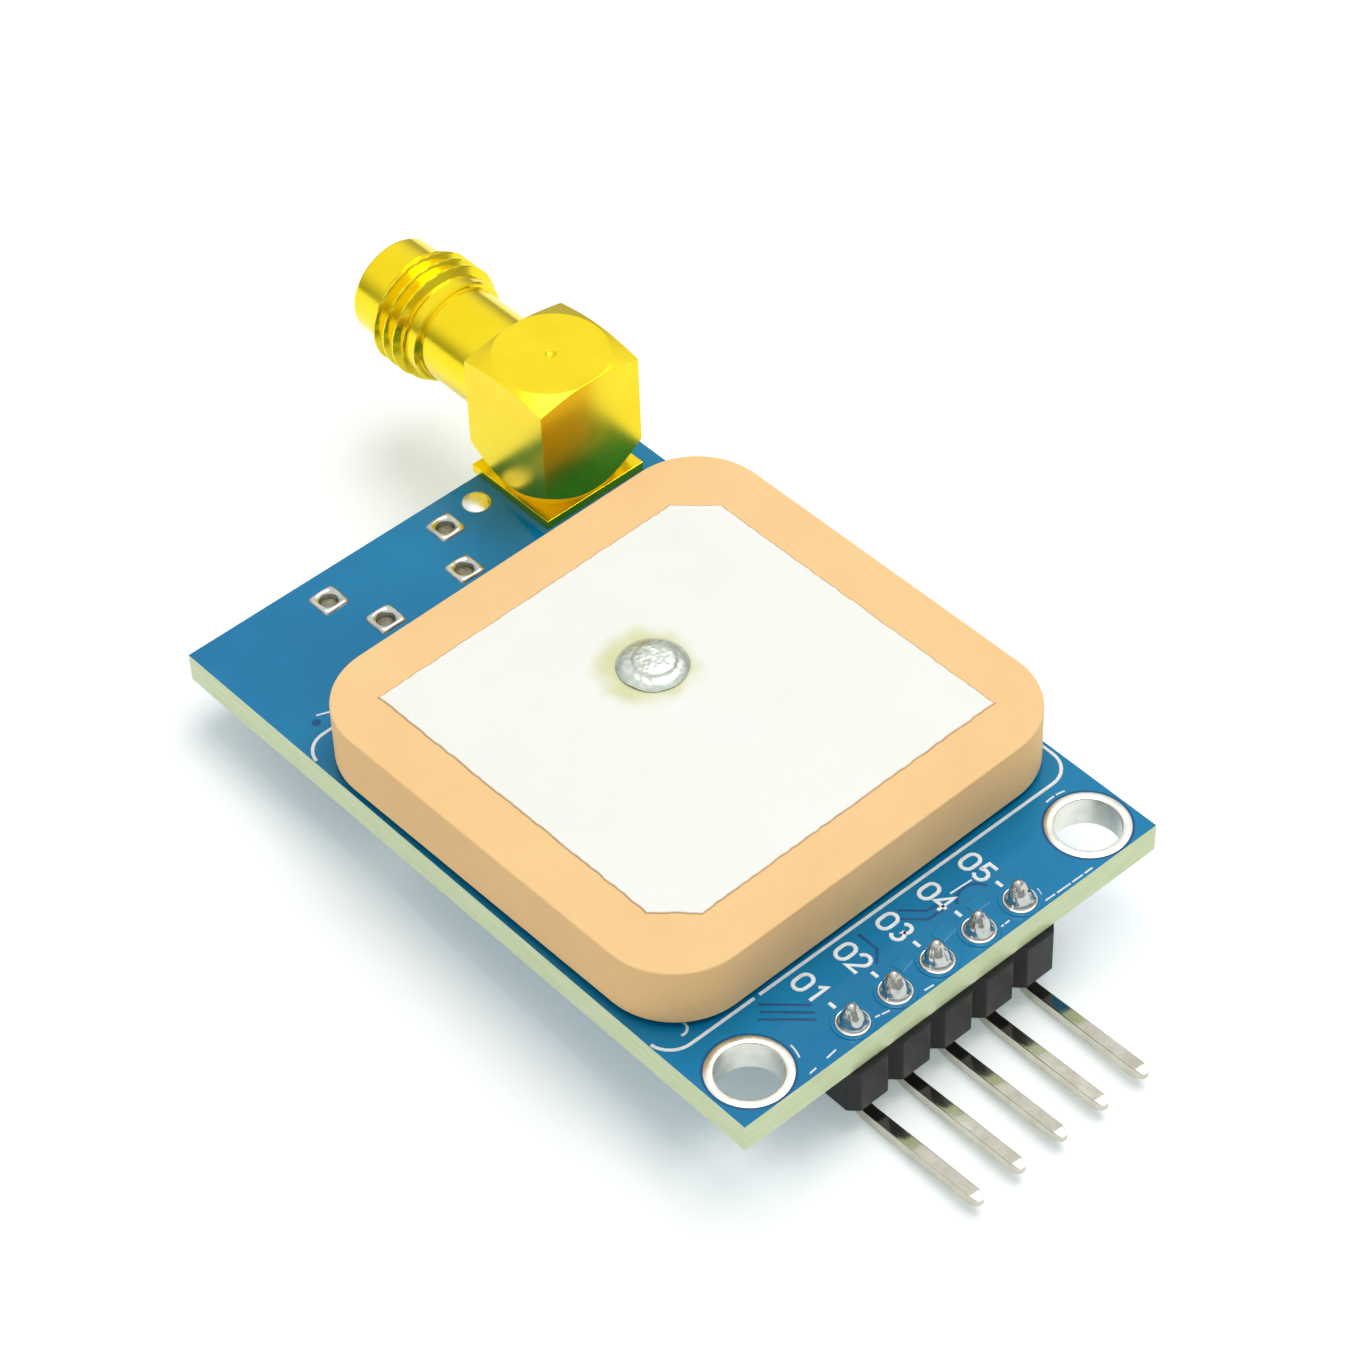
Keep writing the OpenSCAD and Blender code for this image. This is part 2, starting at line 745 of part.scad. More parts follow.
// Drawn shield can, open towards the carrier
module receiver_can() {
    w = carrier_w - 2 * can_margin;
    l = carrier_l - 2 * can_margin;
    color("lightgray")
    translate([carrier_x, carrier_y, -carrier_t - can_h])
    difference() {
        rounded_plate(w, l, can_r, can_h);
        translate([0, 0, can_wall])
            rounded_plate(w - 2 * can_wall, l - 2 * can_wall, can_r - can_wall, can_h);
    }
}

// A plain block hanging under a face at height z
module hung_block(x, y, z, size) {
    translate([x - size.x / 2, y - size.y / 2, z - size.z]) cube(size);
}

// Receiver chip under the can
module receiver_chip() {
    color([0.12, 0.12, 0.12]) hung_block(carrier_x - receiver_left, carrier_y, -carrier_t, receiver_size);
}

// Reference crystal under the can
module reference_crystal() {
    color("silver")
        hung_block(carrier_x + crystal_off.x, carrier_y + crystal_off.y, -carrier_t, crystal_size);
}

// Front-end filter under the can
module front_end_filter() {
    color("burlywood")
        hung_block(carrier_x + filter_off.x, carrier_y + filter_off.y, -carrier_t, filter_size);
}

// Leadless memory chip
module memory_chip() {
    color([0.12, 0.12, 0.12]) hung_block(memory_x, memory_y, 0, memory_size);
}

// Body of the regulator, standing just off the board
module regulator_body() {
    color([0.12, 0.12, 0.12]) hung_block(reg_x, reg_y, -reg_stand, reg_size);
}

// Gull-wing leads of the regulator: three on one side, two on the other
module regulator_leads() {
    y0 = reg_size.y / 2;
    y1 = y0 + lead_foot;
    y2 = y1 + lead_out;
    color("silver")
    for (p = [[-1, 1], [0, 1], [1, 1], [-1, -1], [1, -1]])
        translate([reg_x + p.x * lead_pitch - lead_w / 2, reg_y, 0])
            mirror([0, p.y < 0 ? 1 : 0, 0])
                rotate([90, 0, 90])
                    linear_extrude(lead_w)
                        polygon([[y0, -lead_drop], [y1, -lead_drop], [y1, 0], [y2, 0], [y2, -lead_t],
                                 [y1 + lead_t, -lead_t], [y1 + lead_t, -lead_drop - lead_t],
                                 [y0, -lead_drop - lead_t]]);
}

// Backup cell, lying between its two welded tabs
module backup_cell() {
    color("silver")
    translate([cell_x, cell_y, -tab_t - cell_t]) {
        cylinder(d = cell_d - 2 * cell_rim, h = cell_t);
        translate([0, 0, cell_step]) cylinder(d = cell_d, h = cell_t - cell_step);
    }
}

// Tab between the cell and the board
module cell_tab_inner() {
    color("silver")
    translate([cell_x - cell_d / 4, cell_y - tab_w / 2, -tab_t])
        cube([cell_d * 0.75 + tab_out, tab_w, tab_t]);
}

// Tab over the cell's outer face, stepped back to the board beside it
module cell_tab_outer() {
    z = -2 * tab_t - cell_t;
    x0 = cell_d / 4;
    x1 = cell_d / 2 + tab_gap;
    color("silver")
    translate([cell_x, cell_y + tab_w / 2, 0])
        rotate([90, 0, 0])
            linear_extrude(tab_w)
                polygon([[x0, z], [x0, z + tab_t], [-x1, z + tab_t], [-x1, 0], [-x1 - tab_foot, 0],
                         [-x1 - tab_foot, -tab_t], [-x1 - tab_t, -tab_t], [-x1 - tab_t, z]]);
}

// Indicator lamp: base and lens
module status_lamp(i) {
    color("lemonchiffon") {
        hung_block(lamp_pos(i).x, lamp_pos(i).y, 0, lamp_size);
        hung_block(lamp_pos(i).x, lamp_pos(i).y, -lamp_size.z, lamp_lens);
    }
}

// Chip capacitor
module chip_capacitor(i) {
    color("tan") hung_block(capacitor_pos[i].x, capacitor_pos[i].y, 0, chip_size);
}

// Chip resistor
module chip_resistor(i) {
    color([0.15, 0.15, 0.15]) hung_block(resistor_pos(i).x, resistor_pos(i).y, 0, resistor_size);
}

circuit_board();
plated_hole(-1);  // plated_hole_left
plated_hole(1);  // plated_hole_right
header_strip();
for (i = [0:pin_count - 1])
    header_pin(i);
for (i = [0:pin_count - 1])
    header_solder(i);
ceramic_block();
top_electrode();
ground_electrode();
adhesive_sheet();
feed_pin();
feed_solder_top();
feed_solder_bottom();
coax_elbow();
coax_barrel();
coax_insulator();
coax_contact();
coax_foot_insulator();
coax_foot_pin();
coax_pin_solder();
for (i = [0:3])
    coax_leg_solder(i);
data_socket_shell();
data_socket_tongue();
data_socket_contacts();
for (i = [0:3])
    data_socket_pad(i);
test_pad();
receiver_carrier();
receiver_can();
receiver_chip();
reference_crystal();
front_end_filter();
memory_chip();
regulator_body();
regulator_leads();
backup_cell();
cell_tab_inner();
cell_tab_outer();
for (i = [0:1])
    status_lamp(i);
for (i = [0:2])
    chip_capacitor(i);
for (i = [0:1])
    chip_resistor(i);
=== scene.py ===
# %% [markdown]
# # A satellite receiver board with a ceramic patch antenna
# The object is a blue circuit board as wide as a thumb. It carries a ceramic antenna block with a
# silver electrode, a gilt right-angle aerial socket, a five-way pin header and, underneath, a shielded
# receiver with its helpers. The solids arrive at their real size and place, so this lesson only
# dresses them: edges are rounded, solder flows, the thread is cut and every surface gets its finish.

# %% The frame and the units
import math
import random

import bmesh
import bpy
from mathutils import Matrix, Vector, noise


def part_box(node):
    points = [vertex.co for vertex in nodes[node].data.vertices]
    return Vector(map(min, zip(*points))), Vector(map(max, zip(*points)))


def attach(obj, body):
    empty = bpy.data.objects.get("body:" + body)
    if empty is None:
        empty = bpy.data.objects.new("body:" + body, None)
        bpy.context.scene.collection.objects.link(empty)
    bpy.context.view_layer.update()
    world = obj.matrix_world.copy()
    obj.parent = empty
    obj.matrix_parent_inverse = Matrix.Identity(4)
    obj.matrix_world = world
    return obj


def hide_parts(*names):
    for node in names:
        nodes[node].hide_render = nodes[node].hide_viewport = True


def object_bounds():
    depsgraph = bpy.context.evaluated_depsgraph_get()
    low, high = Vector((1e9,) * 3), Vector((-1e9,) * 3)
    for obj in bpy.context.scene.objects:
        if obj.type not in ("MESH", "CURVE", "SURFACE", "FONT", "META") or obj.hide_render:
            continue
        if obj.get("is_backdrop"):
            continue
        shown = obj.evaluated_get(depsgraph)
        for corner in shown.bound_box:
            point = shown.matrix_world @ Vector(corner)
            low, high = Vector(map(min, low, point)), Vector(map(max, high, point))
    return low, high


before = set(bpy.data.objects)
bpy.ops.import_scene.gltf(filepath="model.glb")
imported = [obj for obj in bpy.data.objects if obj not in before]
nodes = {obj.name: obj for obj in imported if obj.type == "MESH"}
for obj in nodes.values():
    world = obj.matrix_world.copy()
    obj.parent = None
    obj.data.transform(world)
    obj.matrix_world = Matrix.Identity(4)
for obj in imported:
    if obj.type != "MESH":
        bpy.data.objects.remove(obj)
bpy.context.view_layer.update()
MM = 0.001
FULL = 2 * math.pi
print("solids in the frame:", len(nodes))


# %% Where a solid stands
def place(node):
    """Lowest corner, highest corner and middle of a solid, in millimetres."""
    low, high = (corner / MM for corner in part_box(node))
    return low, high, (low + high) / 2


board_low, board_high, board_mid = place("circuit_board")
BOARD_TOP, BOARD_UNDER = board_high.z, board_low.z
HEADER_WAYS = 5
pin_x = [place(f"header_pin_{i}")[2].x for i in range(1, HEADER_WAYS + 1)]
print("board in millimetres:", [round(v, 2) for v in board_high - board_low])

# %% [markdown]
# ## Camera
# The view comes from the front left, looking down at about 46 degrees through a long lens. The angles
# were fitted to the board's corners and holes, so the lens is written as a focal length in pixels of a
# square frame and turned into millimetres of sensor here.

# %% Camera
AZIMUTH, ELEVATION, ROLL = (math.radians(a) for a in (-40.40, 46.02, -2.25))
AIM = Vector((3.085, 19.269, 1.6))
DISTANCE = 206.26
FOCAL_PIXELS, FRAME_PIXELS = 4456.1, 1360
SENSOR = 36

back = Vector((math.sin(AZIMUTH) * math.cos(ELEVATION), -math.cos(AZIMUTH) * math.cos(ELEVATION),
               math.sin(ELEVATION)))
level = (-back).cross(Vector((0, 0, 1))).normalized()
upright = level.cross(-back)
right = level * math.cos(ROLL) + upright * math.sin(ROLL)
up = upright * math.cos(ROLL) - level * math.sin(ROLL)
lens = bpy.data.cameras.new("photo_view")
lens.sensor_width = SENSOR
lens.lens = FOCAL_PIXELS / FRAME_PIXELS * SENSOR
lens.clip_start, lens.clip_end = 0.01, 20
camera = bpy.data.objects.new("photo_view", lens)
camera.matrix_world = Matrix.Translation((AIM + back * DISTANCE) * MM) @ Matrix(
    (right, up, back)).transposed().to_4x4()
bpy.context.scene.collection.objects.link(camera)
bpy.context.scene.camera = camera
print("lens in millimetres:", round(lens.lens, 1))

# %% [markdown]
# ## Two helpers for materials
# Colours are easiest to read as sRGB hex values, but shaders work in linear light, so one function
# turns them. A second one adds a node with its settings, its colour stops and its links.


# %% Colour and node helpers
def linear(colour):
    """Linear red, green, blue and alpha of an sRGB hex value such as #287CAB."""
    parts = [int(colour[i:i + 2], 16) / 255 for i in (1, 3, 5)]
    return [c / 12.92 if c <= 0.04045 else ((c + 0.055) / 1.055) ** 2.4 for c in parts] + [1]


def add(tree, kind, inputs=None, stops=None, **settings):
    """Add a node; an input is a value, or a node and the name or number of its output."""
    node = tree.nodes.new(kind)
    for key, value in settings.items():
        setattr(node, key, value)
    for key, value in (inputs or {}).items():
        if isinstance(value, tuple) and isinstance(value[0], bpy.types.Node):
            tree.links.new(value[0].outputs[value[1]], node.inputs[key])
        else:
            node.inputs[key].default_value = value
    if stops:
        ramp = node.color_ramp.elements
        while len(ramp) < len(stops):
            ramp.new(1)
        for element, (position, colour) in zip(ramp, stops):
            element.position = position
            element.color = linear(colour)
    return node


def per_mm(size):
    """Texture scale at which one cell of a pattern is this many millimetres wide."""
    return 1 / (size * MM)


# %% [markdown]
# Most finishes here share one build: a colour that drifts between two or three close tones, a
# roughness that drifts with it, and a fine grain as bump. The sizes are real millimetres on the part.
# What is special to one finish, such as a printed edge or a flux stain, is added to it afterwards.


# %% A surface that varies
CLOUD_LOW, CLOUD_HIGH = 0.3, 0.7
TONES_FROM, TONES_SPAN = 0.32, 0.36


def surface(name, tones, mottle, roughness, grain, depth, **shader):
    """A Principled material with mottled colour, uneven roughness and a fine grain, sizes in mm."""
    material = bpy.data.materials.new(name)
    material.use_nodes = True
    tree = material.node_tree
    tree.nodes.clear()
    where = add(tree, "ShaderNodeTexCoord")
    cloud = add(tree, "ShaderNodeTexNoise",
                {"Vector": (where, "Object"), "Scale": per_mm(mottle), "Detail": 4.0, "Roughness": 0.6})
    steps = [TONES_FROM + TONES_SPAN * i / max(1, len(tones) - 1) for i in range(len(tones))]
    colour = add(tree, "ShaderNodeValToRGB", {"Fac": (cloud, "Fac")}, stops=list(zip(steps, tones)))
    gloss = add(tree, "ShaderNodeMapRange",
                {"Value": (cloud, "Fac"), "From Min": CLOUD_LOW, "From Max": CLOUD_HIGH,
                 "To Min": roughness[0], "To Max": roughness[1]})
    grit = add(tree, "ShaderNodeTexNoise",
               {"Vector": (where, "Object"), "Scale": per_mm(grain), "Detail": 3.0})
    bump = add(tree, "ShaderNodeBump", {"Height": (grit, "Fac"), "Distance": depth * MM, "Strength": 1.0})
    skin = add(tree, "ShaderNodeBsdfPrincipled",
               {"Base Color": (colour, "Color"), "Roughness": (gloss, "Result"), "Normal": (bump, "Normal"),
                **{key.replace("_", " "): value for key, value in shader.items()}})
    add(tree, "ShaderNodeOutputMaterial", {"Surface": (skin, "BSDF")})
    return material


def part_of(material, kind):
    """The first node of a kind in a material, to build on."""
    return next(n for n in material.node_tree.nodes if n.bl_idname == kind)


# %% [markdown]
# ## Metals
# Gilt brass: turned brass under a thin gold flash. A metal keeps its colour in the reflection, so a
# saturated yellow base and a low roughness give both the pale sky and the deep orange of the block
# mirrored in its front. The plating's fine grain is drawn coarser than it is, or it would not show.
# Tin plate is what header pins wear: brighter than steel, a little warm, nearly a mirror. Solder and
# the tinned lands are the same metal melted, so they are softer and more uneven. Nickel plate and the
# deep-drawn steel of the can are greyer. Fired silver is a printed paste: white, chalky and matte.

# %% Metal finishes
gilt_brass = surface("gilt_brass", ["#F6D820", "#F8DE28", "#FAE330"], 3.5, (0.16, 0.22), 0.2, 0.0004,
                     Metallic=1.0)
milled_gilt = surface("milled_gilt_brass", ["#F4D41E", "#F6DA26", "#F8DF2E"], 3.5, (0.2, 0.26), 0.25,
                      0.0004, Metallic=1.0)
tinned_pin = surface("tin_plated_pin", ["#C3BFB0", "#CCC8BA", "#D5D2C5"], 0.9, (0.08, 0.13), 0.1, 0.0006,
                     Metallic=1.0)
solder = surface("bright_solder", ["#B6B8B5", "#C4C6C2", "#D2D3CE"], 0.5, (0.12, 0.18), 0.16, 0.002,
                 Metallic=1.0)
frosted_solder = surface("frosted_solder", ["#BEC8BC", "#CED6CB", "#DEE4DA"], 0.3, (0.24, 0.36), 0.12,
                         0.004, Metallic=1.0)
tinned_land = surface("tinned_land", ["#DCDBD1", "#E6E5DC", "#EFEEE7"], 0.9, (0.22, 0.32), 0.25, 0.0025,
                      Metallic=1.0)
nickel_steel = surface("nickel_plated_steel", ["#BDBEBA", "#C4C5C1", "#CBCBC7"], 2.2, (0.27, 0.33), 0.09,
                       0.0015, Metallic=1.0)
can_steel = surface("drawn_can_steel", ["#B6B8B6", "#BDBFBC", "#C4C5C2"], 3.0, (0.33, 0.39), 0.12, 0.002,
                    Metallic=1.0)
gilt_contact = surface("gilt_contact_spring", ["#D9B24A", "#E5C25E"], 0.6, (0.2, 0.3), 0.08, 0.001,
                       Metallic=1.0)
print("materials so far:", len(bpy.data.materials))

# %% [markdown]
# ## Mouldings, ceramics and resins
# The header is glass-filled nylon: near black, with a faint sheen. Chip bodies are epoxy, duller and
# sandblasted by their mould. The antenna block is a sintered microwave ceramic, pressed and ground: a
# warm sand colour, matte, with pin-head specks. The insulator is a white fluoropolymer. Chip capacitors
# are brown ceramic, resistors wear a black glaze and the indicator lamps are cast in pale resin. A dull
# brown-grey fill closes the holes of the pads, and the print is a matte white ink.

# %% Moulded, pressed and cast finishes
header_plastic = surface("header_nylon", ["#0F1111", "#141616", "#1A1C1C"], 0.8, (0.36, 0.48), 0.11, 0.003,
                         IOR=1.53, Specular_IOR_Level=0.25)
black_mould = surface("chip_epoxy", ["#1B1C1D", "#232425", "#2A2B2B"], 0.6, (0.5, 0.64), 0.08, 0.004,
                      IOR=1.55)
# Near black: partly the adhesive sheet's own colour, partly painted shade for the dark gap under the block.
adhesive_and_shade = surface("adhesive_with_painted_shade", ["#0C0C0D", "#141415"], 0.5, (0.7, 0.85), 0.15, 0.01, IOR=1.45)
antenna_ceramic = surface("sintered_ceramic", ["#FBCE8F", "#FDD293", "#FED697"], 5.0, (0.55, 0.68), 0.14,
                          0.0025, IOR=1.6, Specular_IOR_Level=0.3)
insulator = surface("fluoropolymer", ["#ECECE6", "#F4F4EF"], 1.2, (0.35, 0.45), 0.2, 0.002, IOR=1.36)
carrier_laminate = surface("carrier_mask", ["#16452F", "#1B5237", "#205C3E"], 1.4, (0.3, 0.42), 0.2, 0.004,
                           IOR=1.52)
filter_ceramic = surface("filter_ceramic", ["#CDB79A", "#D8C4A8"], 0.6, (0.5, 0.6), 0.1, 0.003, IOR=1.6)
lamp_resin = surface("lamp_resin", ["#EFE7B8", "#F5EFC9"], 0.5, (0.16, 0.26), 0.2, 0.002, IOR=1.54)
capacitor_ceramic = surface("capacitor_ceramic", ["#A98456", "#B58F60", "#C09A6B"], 0.5, (0.45, 0.58), 0.08,
                            0.003, IOR=1.6)
resistor_glaze = surface("resistor_glaze", ["#16171A", "#1F2023"], 0.5, (0.25, 0.35), 0.1, 0.002, IOR=1.5)
# A dull brown-grey for the discs that close the pad holes, darker than the solder round them.
dull_hole_fill = surface("dull_hole_fill", ["#6E6A58", "#858069", "#9A957E"], 0.25, (0.4, 0.6), 0.1, 0.006,
                       IOR=1.5)
white_ink = surface("white_ink", ["#DDE6EC", "#EAF0F3", "#F4F7F8"], 0.3, (0.45, 0.6), 0.07, 0.004, IOR=1.48)
print("materials so far:", len(bpy.data.materials))

# %% [markdown]
# ## Specks in the ceramic
# Ground ceramic shows tiny darker pores. A Voronoi pattern gives round cells, and only the middles of
# some of them are kept, mixed into the base colour as slightly darker dots.

# %% Ceramic pores
tree = antenna_ceramic.node_tree
where = part_of(antenna_ceramic, "ShaderNodeTexCoord")
skin = part_of(antenna_ceramic, "ShaderNodeBsdfPrincipled")
sand = part_of(antenna_ceramic, "ShaderNodeValToRGB")
PORE_SPACING = 0.5
PORE_INNER, PORE_OUTER, PORE_SHADE = 0.06, 0.16, 0.12
pores = add(tree, "ShaderNodeTexVoronoi", {"Vector": (where, "Object"), "Scale": per_mm(PORE_SPACING)})
dots = add(tree, "ShaderNodeMapRange",
           {"Value": (pores, "Distance"), "From Min": PORE_INNER, "From Max": PORE_OUTER,
            "To Min": PORE_SHADE, "To Max": 0.0})
speckled = add(tree, "ShaderNodeMix", {0: (dots, "Result"), 6: (sand, "Color"), 7: linear("#D9A66C")},
               data_type="RGBA")
tree.links.new(speckled.outputs[2], skin.inputs["Base Color"])
print("ceramic pores, millimetres apart:", PORE_SPACING)

# %% [markdown]
# ## Solder mask on laminate
# The board is one solid, but two materials show: blue solder mask on its faces, and on its sawn edges
# the bare laminate, pale yellow-green with the layers of glass cloth as fine lines. The surface normal
# tells the two apart: faces look up or down, edges look sideways. Where copper lies under the mask it
# shines through a little lighter, and where the copper is cut away the mask looks deeper.

# %% Board finish
solder_mask = surface("solder_mask_on_laminate", ["#0076A8", "#027CAE", "#0482B4"], 7.0, (0.11, 0.16), 0.5,
                      0.0015, IOR=1.5, Specular_IOR_Level=0.3)
tree = solder_mask.node_tree
where = part_of(solder_mask, "ShaderNodeTexCoord")
skin = part_of(solder_mask, "ShaderNodeBsdfPrincipled")
mask_colour = part_of(solder_mask, "ShaderNodeValToRGB")
LAYER_SPACING, LAYER_STRETCH = 0.22, (0.12, 0.12, 1.0)
EDGE_BELOW, FACE_ABOVE = 0.35, 0.5
facing = add(tree, "ShaderNodeNewGeometry")
axes = add(tree, "ShaderNodeSeparateXYZ", {"Vector": (facing, "Normal")})
upward = add(tree, "ShaderNodeMath", {0: (axes, "Z")}, operation="ABSOLUTE")
on_face = add(tree, "ShaderNodeMapRange",
              {"Value": (upward, "Value"), "From Min": EDGE_BELOW, "From Max": FACE_ABOVE,
               "To Min": 0.0, "To Max": 1.0})
spread = add(tree, "ShaderNodeMapping", {"Vector": (where, "Object"), "Scale": LAYER_STRETCH})
layers = add(tree, "ShaderNodeTexNoise",
             {"Vector": (spread, "Vector"), "Scale": per_mm(LAYER_SPACING), "Detail": 2.0})
glass = add(tree, "ShaderNodeValToRGB", {"Fac": (layers, "Fac")},
            stops=[(0.35, "#DCF0BA"), (0.5, "#E2F4C2"), (0.65, "#E8F7CA")])
both = add(tree, "ShaderNodeMix", {0: (on_face, "Result"), 6: (glass, "Color"), 7: (mask_colour, "Color")},
           data_type="RGBA")
tree.links.new(both.outputs[2], skin.inputs["Base Color"])
masked_copper = surface("solder_mask_on_copper", ["#0278AA", "#047EB0", "#0684B6"], 3.0, (0.12, 0.18), 0.4,
                        0.0015, IOR=1.5, Specular_IOR_Level=0.3)
mask_gap = surface("solder_mask_in_gap", ["#044F80", "#065688"], 1.0, (0.25, 0.35), 0.4, 0.003, IOR=1.5,
                   Specular_IOR_Level=0.25)
print("materials so far:", len(bpy.data.materials))

# %% [markdown]
# ## Fired silver with a flux stain
# The top electrode is silver paste, screened on and fired: almost white, slightly warm. Round the
# feed joint the flux has left a yellow-green stain, wider on its left side. It is drawn as a soft disc
# whose edge wanders with a noise. Where the paste ends, a thin brownish ring is drawn on the ceramic.

# %% Electrode finish
fired_silver = surface("fired_silver", ["#F4F5EB", "#F6F7EF", "#F8F8F2"], 4.0, (0.45, 0.58), 0.11, 0.003,
                       Metallic=0.08)
tree = fired_silver.node_tree
where = part_of(fired_silver, "ShaderNodeTexCoord")
skin = part_of(fired_silver, "ShaderNodeBsdfPrincipled")
silver_colour = part_of(fired_silver, "ShaderNodeValToRGB")
dome_low, dome_high, dome_mid = place("feed_solder_top")
STAIN_SHIFT = Vector((-0.3, 0.2, 0))
STAIN_INNER, STAIN_OUTER = 1.5, 2.9
STAIN_WANDER, STAIN_GRAIN, STAIN_STRENGTH = 1.5, 1.1, 0.75
stain_spot = Vector((dome_mid.x, dome_mid.y, dome_low.z)) + STAIN_SHIFT
wander = add(tree, "ShaderNodeTexNoise",
             {"Vector": (where, "Object"), "Scale": per_mm(STAIN_GRAIN), "Detail": 3.0})
off = add(tree, "ShaderNodeVectorMath", {0: (where, "Object"), 1: tuple(stain_spot * MM)},
          operation="DISTANCE")
uneven = add(tree, "ShaderNodeMath", {0: (wander, "Fac"), 1: STAIN_WANDER * MM, 2: (off, "Value")},
             operation="MULTIPLY_ADD")
stain = add(tree, "ShaderNodeMapRange",
            {"Value": (uneven, "Value"), "From Min": (STAIN_INNER + STAIN_WANDER / 2) * MM,
             "From Max": (STAIN_OUTER + STAIN_WANDER / 2) * MM, "To Min": STAIN_STRENGTH, "To Max": 0.0},
            interpolation_type="SMOOTHSTEP")
stained = add(tree, "ShaderNodeMix",
              {0: (stain, "Result"), 6: (silver_colour, "Color"), 7: linear("#D3D58C")}, data_type="RGBA")
tree.links.new(stained.outputs[2], skin.inputs["Base Color"])
ground_silver = surface("ground_silver", ["#D8D8D2", "#E4E4DE"], 2.0, (0.4, 0.5), 0.1, 0.003, Metallic=0.6)
# A brownish colour for the thin ring along the electrode's edge.
brown_edge_ring = surface("brown_edge_ring", ["#B98C58", "#C79A66", "#D3A874"], 0.4, (0.55, 0.65), 0.1, 0.003, IOR=1.6)
print("materials so far:", len(bpy.data.materials))

# %% [markdown]
# ## Building pieces
# Every mesh is drawn in millimetres and scaled to metres once, when it becomes an object. A piece
# rides on the part's only body. Where it stands for a solid, that solid is hidden. For the shading,
# every corner's normal is the mean of the faces around it, weighted by their area and only among
# those that meet at less than a limit angle. So a large flat stays flat right up to its rounded edge,
# and the rounding alone catches the light.


# %% Shading normals
TINY = 1e-12


def weigh_normals(mesh, limit):
    """Give every corner the mean normal of its neighbours within an angle, larger faces counting more."""
    around = [[] for _ in mesh.vertices]
    faces = [(face.normal.copy(), face.area) for face in mesh.polygons]
    for face in mesh.polygons:
        for v in face.vertices:
            around[v].append(face.index)
    nearest = math.cos(math.radians(limit))
    normals = []
    for face in mesh.polygons:
        own = faces[face.index][0]
        for v in face.vertices:
            near = (faces[i] for i in around[v] if faces[i][0].dot(own) > nearest)
            normals.append(sum((normal * area for normal, area in near), own * TINY).normalized())
    mesh.normals_split_custom_set(normals)


# %% From mesh to named piece
def piece(name, bm, finish, stands_for=(), smooth=30):
    """Turn a mesh drawn in millimetres into a named object in metres that rides on the part."""
    bmesh.ops.recalc_face_normals(bm, faces=bm.faces)
    bmesh.ops.scale(bm, vec=(MM, MM, MM), verts=bm.verts)
    mesh = bpy.data.meshes.new(name)
    bm.to_mesh(mesh)
    bm.free()
    mesh.polygons.foreach_set("use_smooth", [True] * len(mesh.polygons))
    mesh.set_sharp_from_angle(angle=math.radians(smooth))
    weigh_normals(mesh, smooth)
    mesh.materials.append(finish)
    obj = bpy.data.objects.new(name, mesh)
    bpy.context.scene.collection.objects.link(obj)
    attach(obj, "root")
    if stands_for:
        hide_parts(*stands_for)
    print(name, "faces:", len(mesh.polygons))
    return obj


def dress(node, finish):
    """Give a solid that keeps its own shape its finish."""
    mesh = nodes[node].data
    mesh.materials.clear()
    mesh.materials.append(finish)


# %% [markdown]
# A solid with crisp edges only looks real once the edges are broken: moulds have draft and radii,
# saws leave burrs, plating rounds corners. This helper copies a solid's mesh, welds it, merges its
# flat triangles into whole faces and bevels what is sharper than a limit angle.


# %% Rounded copy of a solid
WELD, FLAT_ANGLE = 0.001, 0.3


def soften(node, width, finish, segments=2, angle=30, smooth=50):
    """Replace a solid by a copy with its sharp edges rounded to a width in millimetres."""
    bm = bmesh.new()
    bm.from_mesh(nodes[node].data)
    bmesh.ops.scale(bm, vec=(1 / MM, 1 / MM, 1 / MM), verts=bm.verts)
    bmesh.ops.remove_doubles(bm, verts=bm.verts, dist=WELD)
    bmesh.ops.dissolve_limit(bm, angle_limit=math.radians(FLAT_ANGLE), verts=bm.verts, edges=bm.edges)
    sharp = [e for e in bm.edges if e.is_manifold and e.calc_face_angle() > math.radians(angle)]
    bmesh.ops.bevel(bm, geom=sharp, offset=width, segments=segments, profile=0.5, affect="EDGES",
                    clamp_overlap=True)
    return piece(node + "_rounded", bm, finish, [node], smooth)


# %% [markdown]
# Turned parts and drops of solder are rings of points joined by quads. A ring can be any closed line
# of points, so a thread or a ripple is just a ring whose radius changes on the way round.


# %% Rings joined by quads
def skin_rings(bm, rings, closed=False, caps=(False, False)):
    """Join rings of equal length into a skin; a closed skin also joins the last ring to the first."""
    made = [[bm.verts.new(p) for p in ring] for ring in rings]
    count = len(made[0])
    pairs = list(zip(made, made[1:])) + ([(made[-1], made[0])] if closed else [])
    for one, two in pairs:
        for i in range(count):
            j = (i + 1) % count
            bm.faces.new((one[i], one[j], two[j], two[i]))
    for ring, wanted in ((made[0], caps[0]), (made[-1], caps[1])):
        if wanted:
            bm.faces.new(ring)
    return bm


def circle(radius, height, centre, count=64):
    """A ring of points about an upright axis through a centre."""
    return [Vector((centre[0] + radius * math.cos(FULL * i / count),
                    centre[1] + radius * math.sin(FULL * i / count), height)) for i in range(count)]


def lathe(bm, profile, centre, count=64, caps=(False, False), closed=False):
    """Add a skin turned about an upright axis from points of radius and height."""
    return skin_rings(bm, [circle(r, z, centre, count) for r, z in profile], closed, caps)


# %% [markdown]
# White ink and copper under the mask both stand proud of the board by a few hundredths of a
# millimetre. Both are ribbons: a path in the board's plane, widened to both sides, with a flat top and
# sloping flanks. At a bend the ribbon is mitred so that it keeps its width.


# %% Ribbons on the board
RIBBON_TOP, MITRE_LIMIT = 0.8, 0.5


